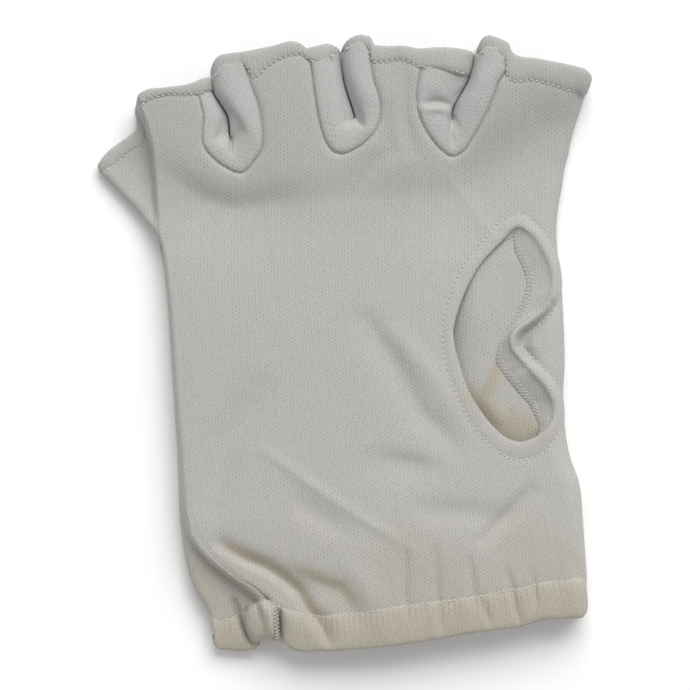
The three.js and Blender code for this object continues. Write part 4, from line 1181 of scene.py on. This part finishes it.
class GloveLooks(bpy.types.PropertyGroup):
    """Colours and light"""
    cloth: colour_property("Cloth", "Colour of the palm and back", (0.442, 0.436, 0.413))
    # Painted light: the strips' colour is lighter than the cloth's, to make up for the shade that falls on
    # them between the fingers.
    strip: colour_property("Strips", "Colour of the strips between the fingers", (0.472, 0.466, 0.446))
    hem: colour_property("Hems", "Colour of the finger and thumb hems", (0.442, 0.435, 0.413))
    casing: colour_property("Casing", "Colour of the wrist casing", (0.455, 0.44, 0.403))
    seam: colour_property("Seam", "Colour of the side seam", (0.442, 0.436, 0.416))
    stain: colour_property("Stain", "Colour of the yellowed cloth", (0.4, 0.352, 0.268))
    thread: colour_property("Thread", "Colour of the stitches", (0.56, 0.55, 0.525))
    floor: colour_property("Floor", "Colour of the floor", (0.95, 0.95, 0.95))
    knit_bump: number("Knit relief", "Strength of the knit's relief", 0.32, 0, 1, subtype="FACTOR")
    knit_contrast: number("Knit contrast", "Darkness of the gaps between loops", 0.2, 0, 1, subtype="FACTOR")
    key_power: number("Key light", "Power of the light above the fingers", 76, 0, 400, unit="POWER")
    fill: number("Fill", "Strength of the light from all round", 0.5, 0, 4)


# Operators

class GLOVE_OT_palm(bpy.types.Operator):
    """Make the palm with its thumb hole and the palm sides of the fingers"""
    bl_idname = "glove.palm"
    bl_label = "Palm"

    def execute(self, context):
        piece = palm_cloth(context.scene.glove_sizes)
        finish_piece(piece, "cloth_cotton", ["palm_panel"])
        return {"FINISHED"}


class GLOVE_OT_back(bpy.types.Operator):
    """Make the back, wrapped up over the little finger's side"""
    bl_idname = "glove.back"
    bl_label = "Back"

    def execute(self, context):
        piece = back_cloth(context.scene.glove_sizes)
        finish_piece(piece, "cloth_cotton", ["back_panel"])
        return {"FINISHED"}


class GLOVE_OT_strips(bpy.types.Operator):
    """Make the three strips between the fingers"""
    bl_idname = "glove.strips"
    bl_label = "Strips between the fingers"

    def execute(self, context):
        for name, rows in STRIPS.items():
            piece = strip_cloth(name, rows, context.scene.glove_sizes)
            # The strips' material is the cloth's cotton made lighter, as painted light against the shade
            # between the fingers.
            finish_piece(piece, "strip_cotton", ["fourchette_" + name])
        return {"FINISHED"}


class GLOVE_OT_finger_hems(bpy.types.Operator):
    """Make the turned hems of the four fingers"""
    bl_idname = "glove.finger_hems"
    bl_label = "Finger hems"

    def execute(self, context):
        sizes = context.scene.glove_sizes
        for name, end in FINGER_ENDS.items():
            piece = hem_ring("hem_" + name, end, FINGER_HEM_PROFILE, (110, 18), sizes)
            finish_piece(piece, "hem_cotton", ["finger_hem_" + name])
        return {"FINISHED"}


class GLOVE_OT_casing(bpy.types.Operator):
    """Make the gathered casing at the wrist"""
    bl_idname = "glove.casing"
    bl_label = "Wrist casing"

    def execute(self, context):
        sizes = context.scene.glove_sizes
        piece = hem_ring("casing", WRIST, CASING_PROFILE, (420, 18), sizes, casing_gathers)
        finish_piece(piece, "casing_cotton", ["wrist_casing"])
        return {"FINISHED"}


class GLOVE_OT_thumb(bpy.types.Operator):
    """Make the hem and facing of the thumb hole with its overlocked raw edge"""
    bl_idname = "glove.thumb"
    bl_label = "Thumb hole"

    def execute(self, context):
        sizes = context.scene.glove_sizes
        piece, raw_edge, inner_edge = thumb_facing()
        finish_piece(piece, "hem_cotton", ["thumb_hem"])
        edge, behind = (np.vstack([line, line[:1]]) for line in (raw_edge, inner_edge))
        loops = overlock(edge, behind, OVERLOCK["thumb"])
        sew("thumb_overlock", loops, sizes.thread_radius * OVERLOCK["thread"])
        return {"FINISHED"}


class GLOVE_OT_seam(bpy.types.Operator):
    """Make the welt of the side seam"""
    bl_idname = "glove.seam"
    bl_label = "Side seam"

    def execute(self, context):
        finish_piece(seam_welt(), "seam_cotton", ["side_seam"])
        return {"FINISHED"}


class GLOVE_OT_stitches(bpy.types.Operator):
    """Make the rows of stitches along the hems, the thumb hole and the casing"""
    bl_idname = "glove.stitches"
    bl_label = "Stitches"

    def execute(self, context):
        sizes = context.scene.glove_sizes
        span = np.linspace(*STITCHED["finger"], 200)
        lines = {name: along(end["rows"], span) for name, end in FINGER_ENDS.items()}
        lines["casing"] = along(WRIST["rows"], np.linspace(*STITCHED["wrist"], 400))
        lines["thumb"] = along(THUMB, np.linspace(0, 1, 300), closed=True)
        for name, line in lines.items():
            x, y = line[2:4]
            places = place(x, y, upper(x, y) - STITCH_SUNK)
            paths = stitch_row(places, sizes.stitch, sizes.stitch_pitch, STITCH_SLANT)
            sew("stitches_" + name, paths, sizes.thread_radius)
        down = np.linspace(*CASING_END["rows"], 40)
        height = upper(CASING_END["on"], down)
        edge = place(np.linspace(*CASING_END["edge"], 40), down, height - 0.9)
        behind = place(np.linspace(*CASING_END["behind"], 40), down, height + 0.5)
        loops = overlock(edge, behind, OVERLOCK["casing"])
        sew("casing_overlock", loops, sizes.thread_radius * OVERLOCK["thread"])
        return {"FINISHED"}


class GLOVE_OT_stage(bpy.types.Operator):
    """Make the pale floor, the soft lights and the camera above the palm"""
    bl_idname = "glove.stage"
    bl_label = "Stage"

    def execute(self, context):
        looks = context.scene.glove_looks
        scene = context.scene
        corners = FLOOR_REACH * np.array([(-1, -1, 0), (1, -1, 0), (1, 1, 0), (-1, 1, 0)])
        floor = make_piece("floor", corners, np.array([[0, 1, 2, 3]]), corners[:, :2])
        floor.data.materials.append(plain("floor_paper", tuple(looks.floor)))
        key = bpy.data.lights.new("key", "AREA")
        key.shape = "RECTANGLE"
        key.size, key.size_y = LAMP_SIDES
        key.energy = looks.key_power
        lamp = bpy.data.objects.new("key", key)
        lamp.location = LAMP_PLACE
        lamp.rotation_euler = (-Vector(LAMP_PLACE)).to_track_quat("-Z", "Y").to_euler()
        scene.collection.objects.link(lamp)
        world = bpy.data.worlds.new("studio")
        world.use_nodes = True
        world.node_tree.nodes["Background"].inputs["Color"].default_value = (1, 1, 1, 1)
        world.node_tree.nodes["Background"].inputs["Strength"].default_value = looks.fill
        scene.world = world
        scene.view_settings.view_transform = "Standard"
        camera = bpy.data.cameras.new("camera")
        camera.lens, camera.sensor_width = LENS, SENSOR
        camera.clip_start = 0.01
        height = VIEW_SIZE * PIXEL * LENS / SENSOR + SHARP_HEIGHT * MM
        view = bpy.data.objects.new("camera", camera)
        shift = (VIEW_SIZE / 2 - MIDDLE_X) * PIXEL
        rise = (MIDDLE_Y - VIEW_SIZE / 2) * PIXEL
        view.location = (shift, rise, height)
        scene.collection.objects.link(view)
        scene.camera = view
        return {"FINISHED"}


class GLOVE_PT_panel(bpy.types.Panel):
    """Lists the glove's pieces and their settings"""
    bl_idname = "GLOVE_PT_panel"
    bl_label = "Fingerless glove"
    bl_space_type = "VIEW_3D"
    bl_region_type = "UI"
    bl_category = "Glove"

    def draw(self, context):
        for maker in MAKERS:
            self.layout.operator(maker.bl_idname)
        for group in (context.scene.glove_sizes, context.scene.glove_looks):
            for name in group.__annotations__:
                self.layout.prop(group, name)


MAKERS = (GLOVE_OT_palm, GLOVE_OT_back, GLOVE_OT_strips, GLOVE_OT_finger_hems, GLOVE_OT_casing,
          GLOVE_OT_thumb, GLOVE_OT_seam, GLOVE_OT_stitches, GLOVE_OT_stage)
CLASSES = (GloveSizes, GloveLooks, *MAKERS, GLOVE_PT_panel)


def register():
    for each in CLASSES:
        bpy.utils.register_class(each)
    bpy.types.Scene.glove_sizes = bpy.props.PointerProperty(type=GloveSizes)
    bpy.types.Scene.glove_looks = bpy.props.PointerProperty(type=GloveLooks)


def unregister():
    del bpy.types.Scene.glove_looks
    del bpy.types.Scene.glove_sizes
    for each in reversed(CLASSES):
        bpy.utils.unregister_class(each)


def main():
    """Makes every piece and the stage in order."""
    register()
    for maker in MAKERS:
        family, name = maker.bl_idname.split(".")
        getattr(getattr(bpy.ops, family), name)()


if __name__ == "__main__":
    main()
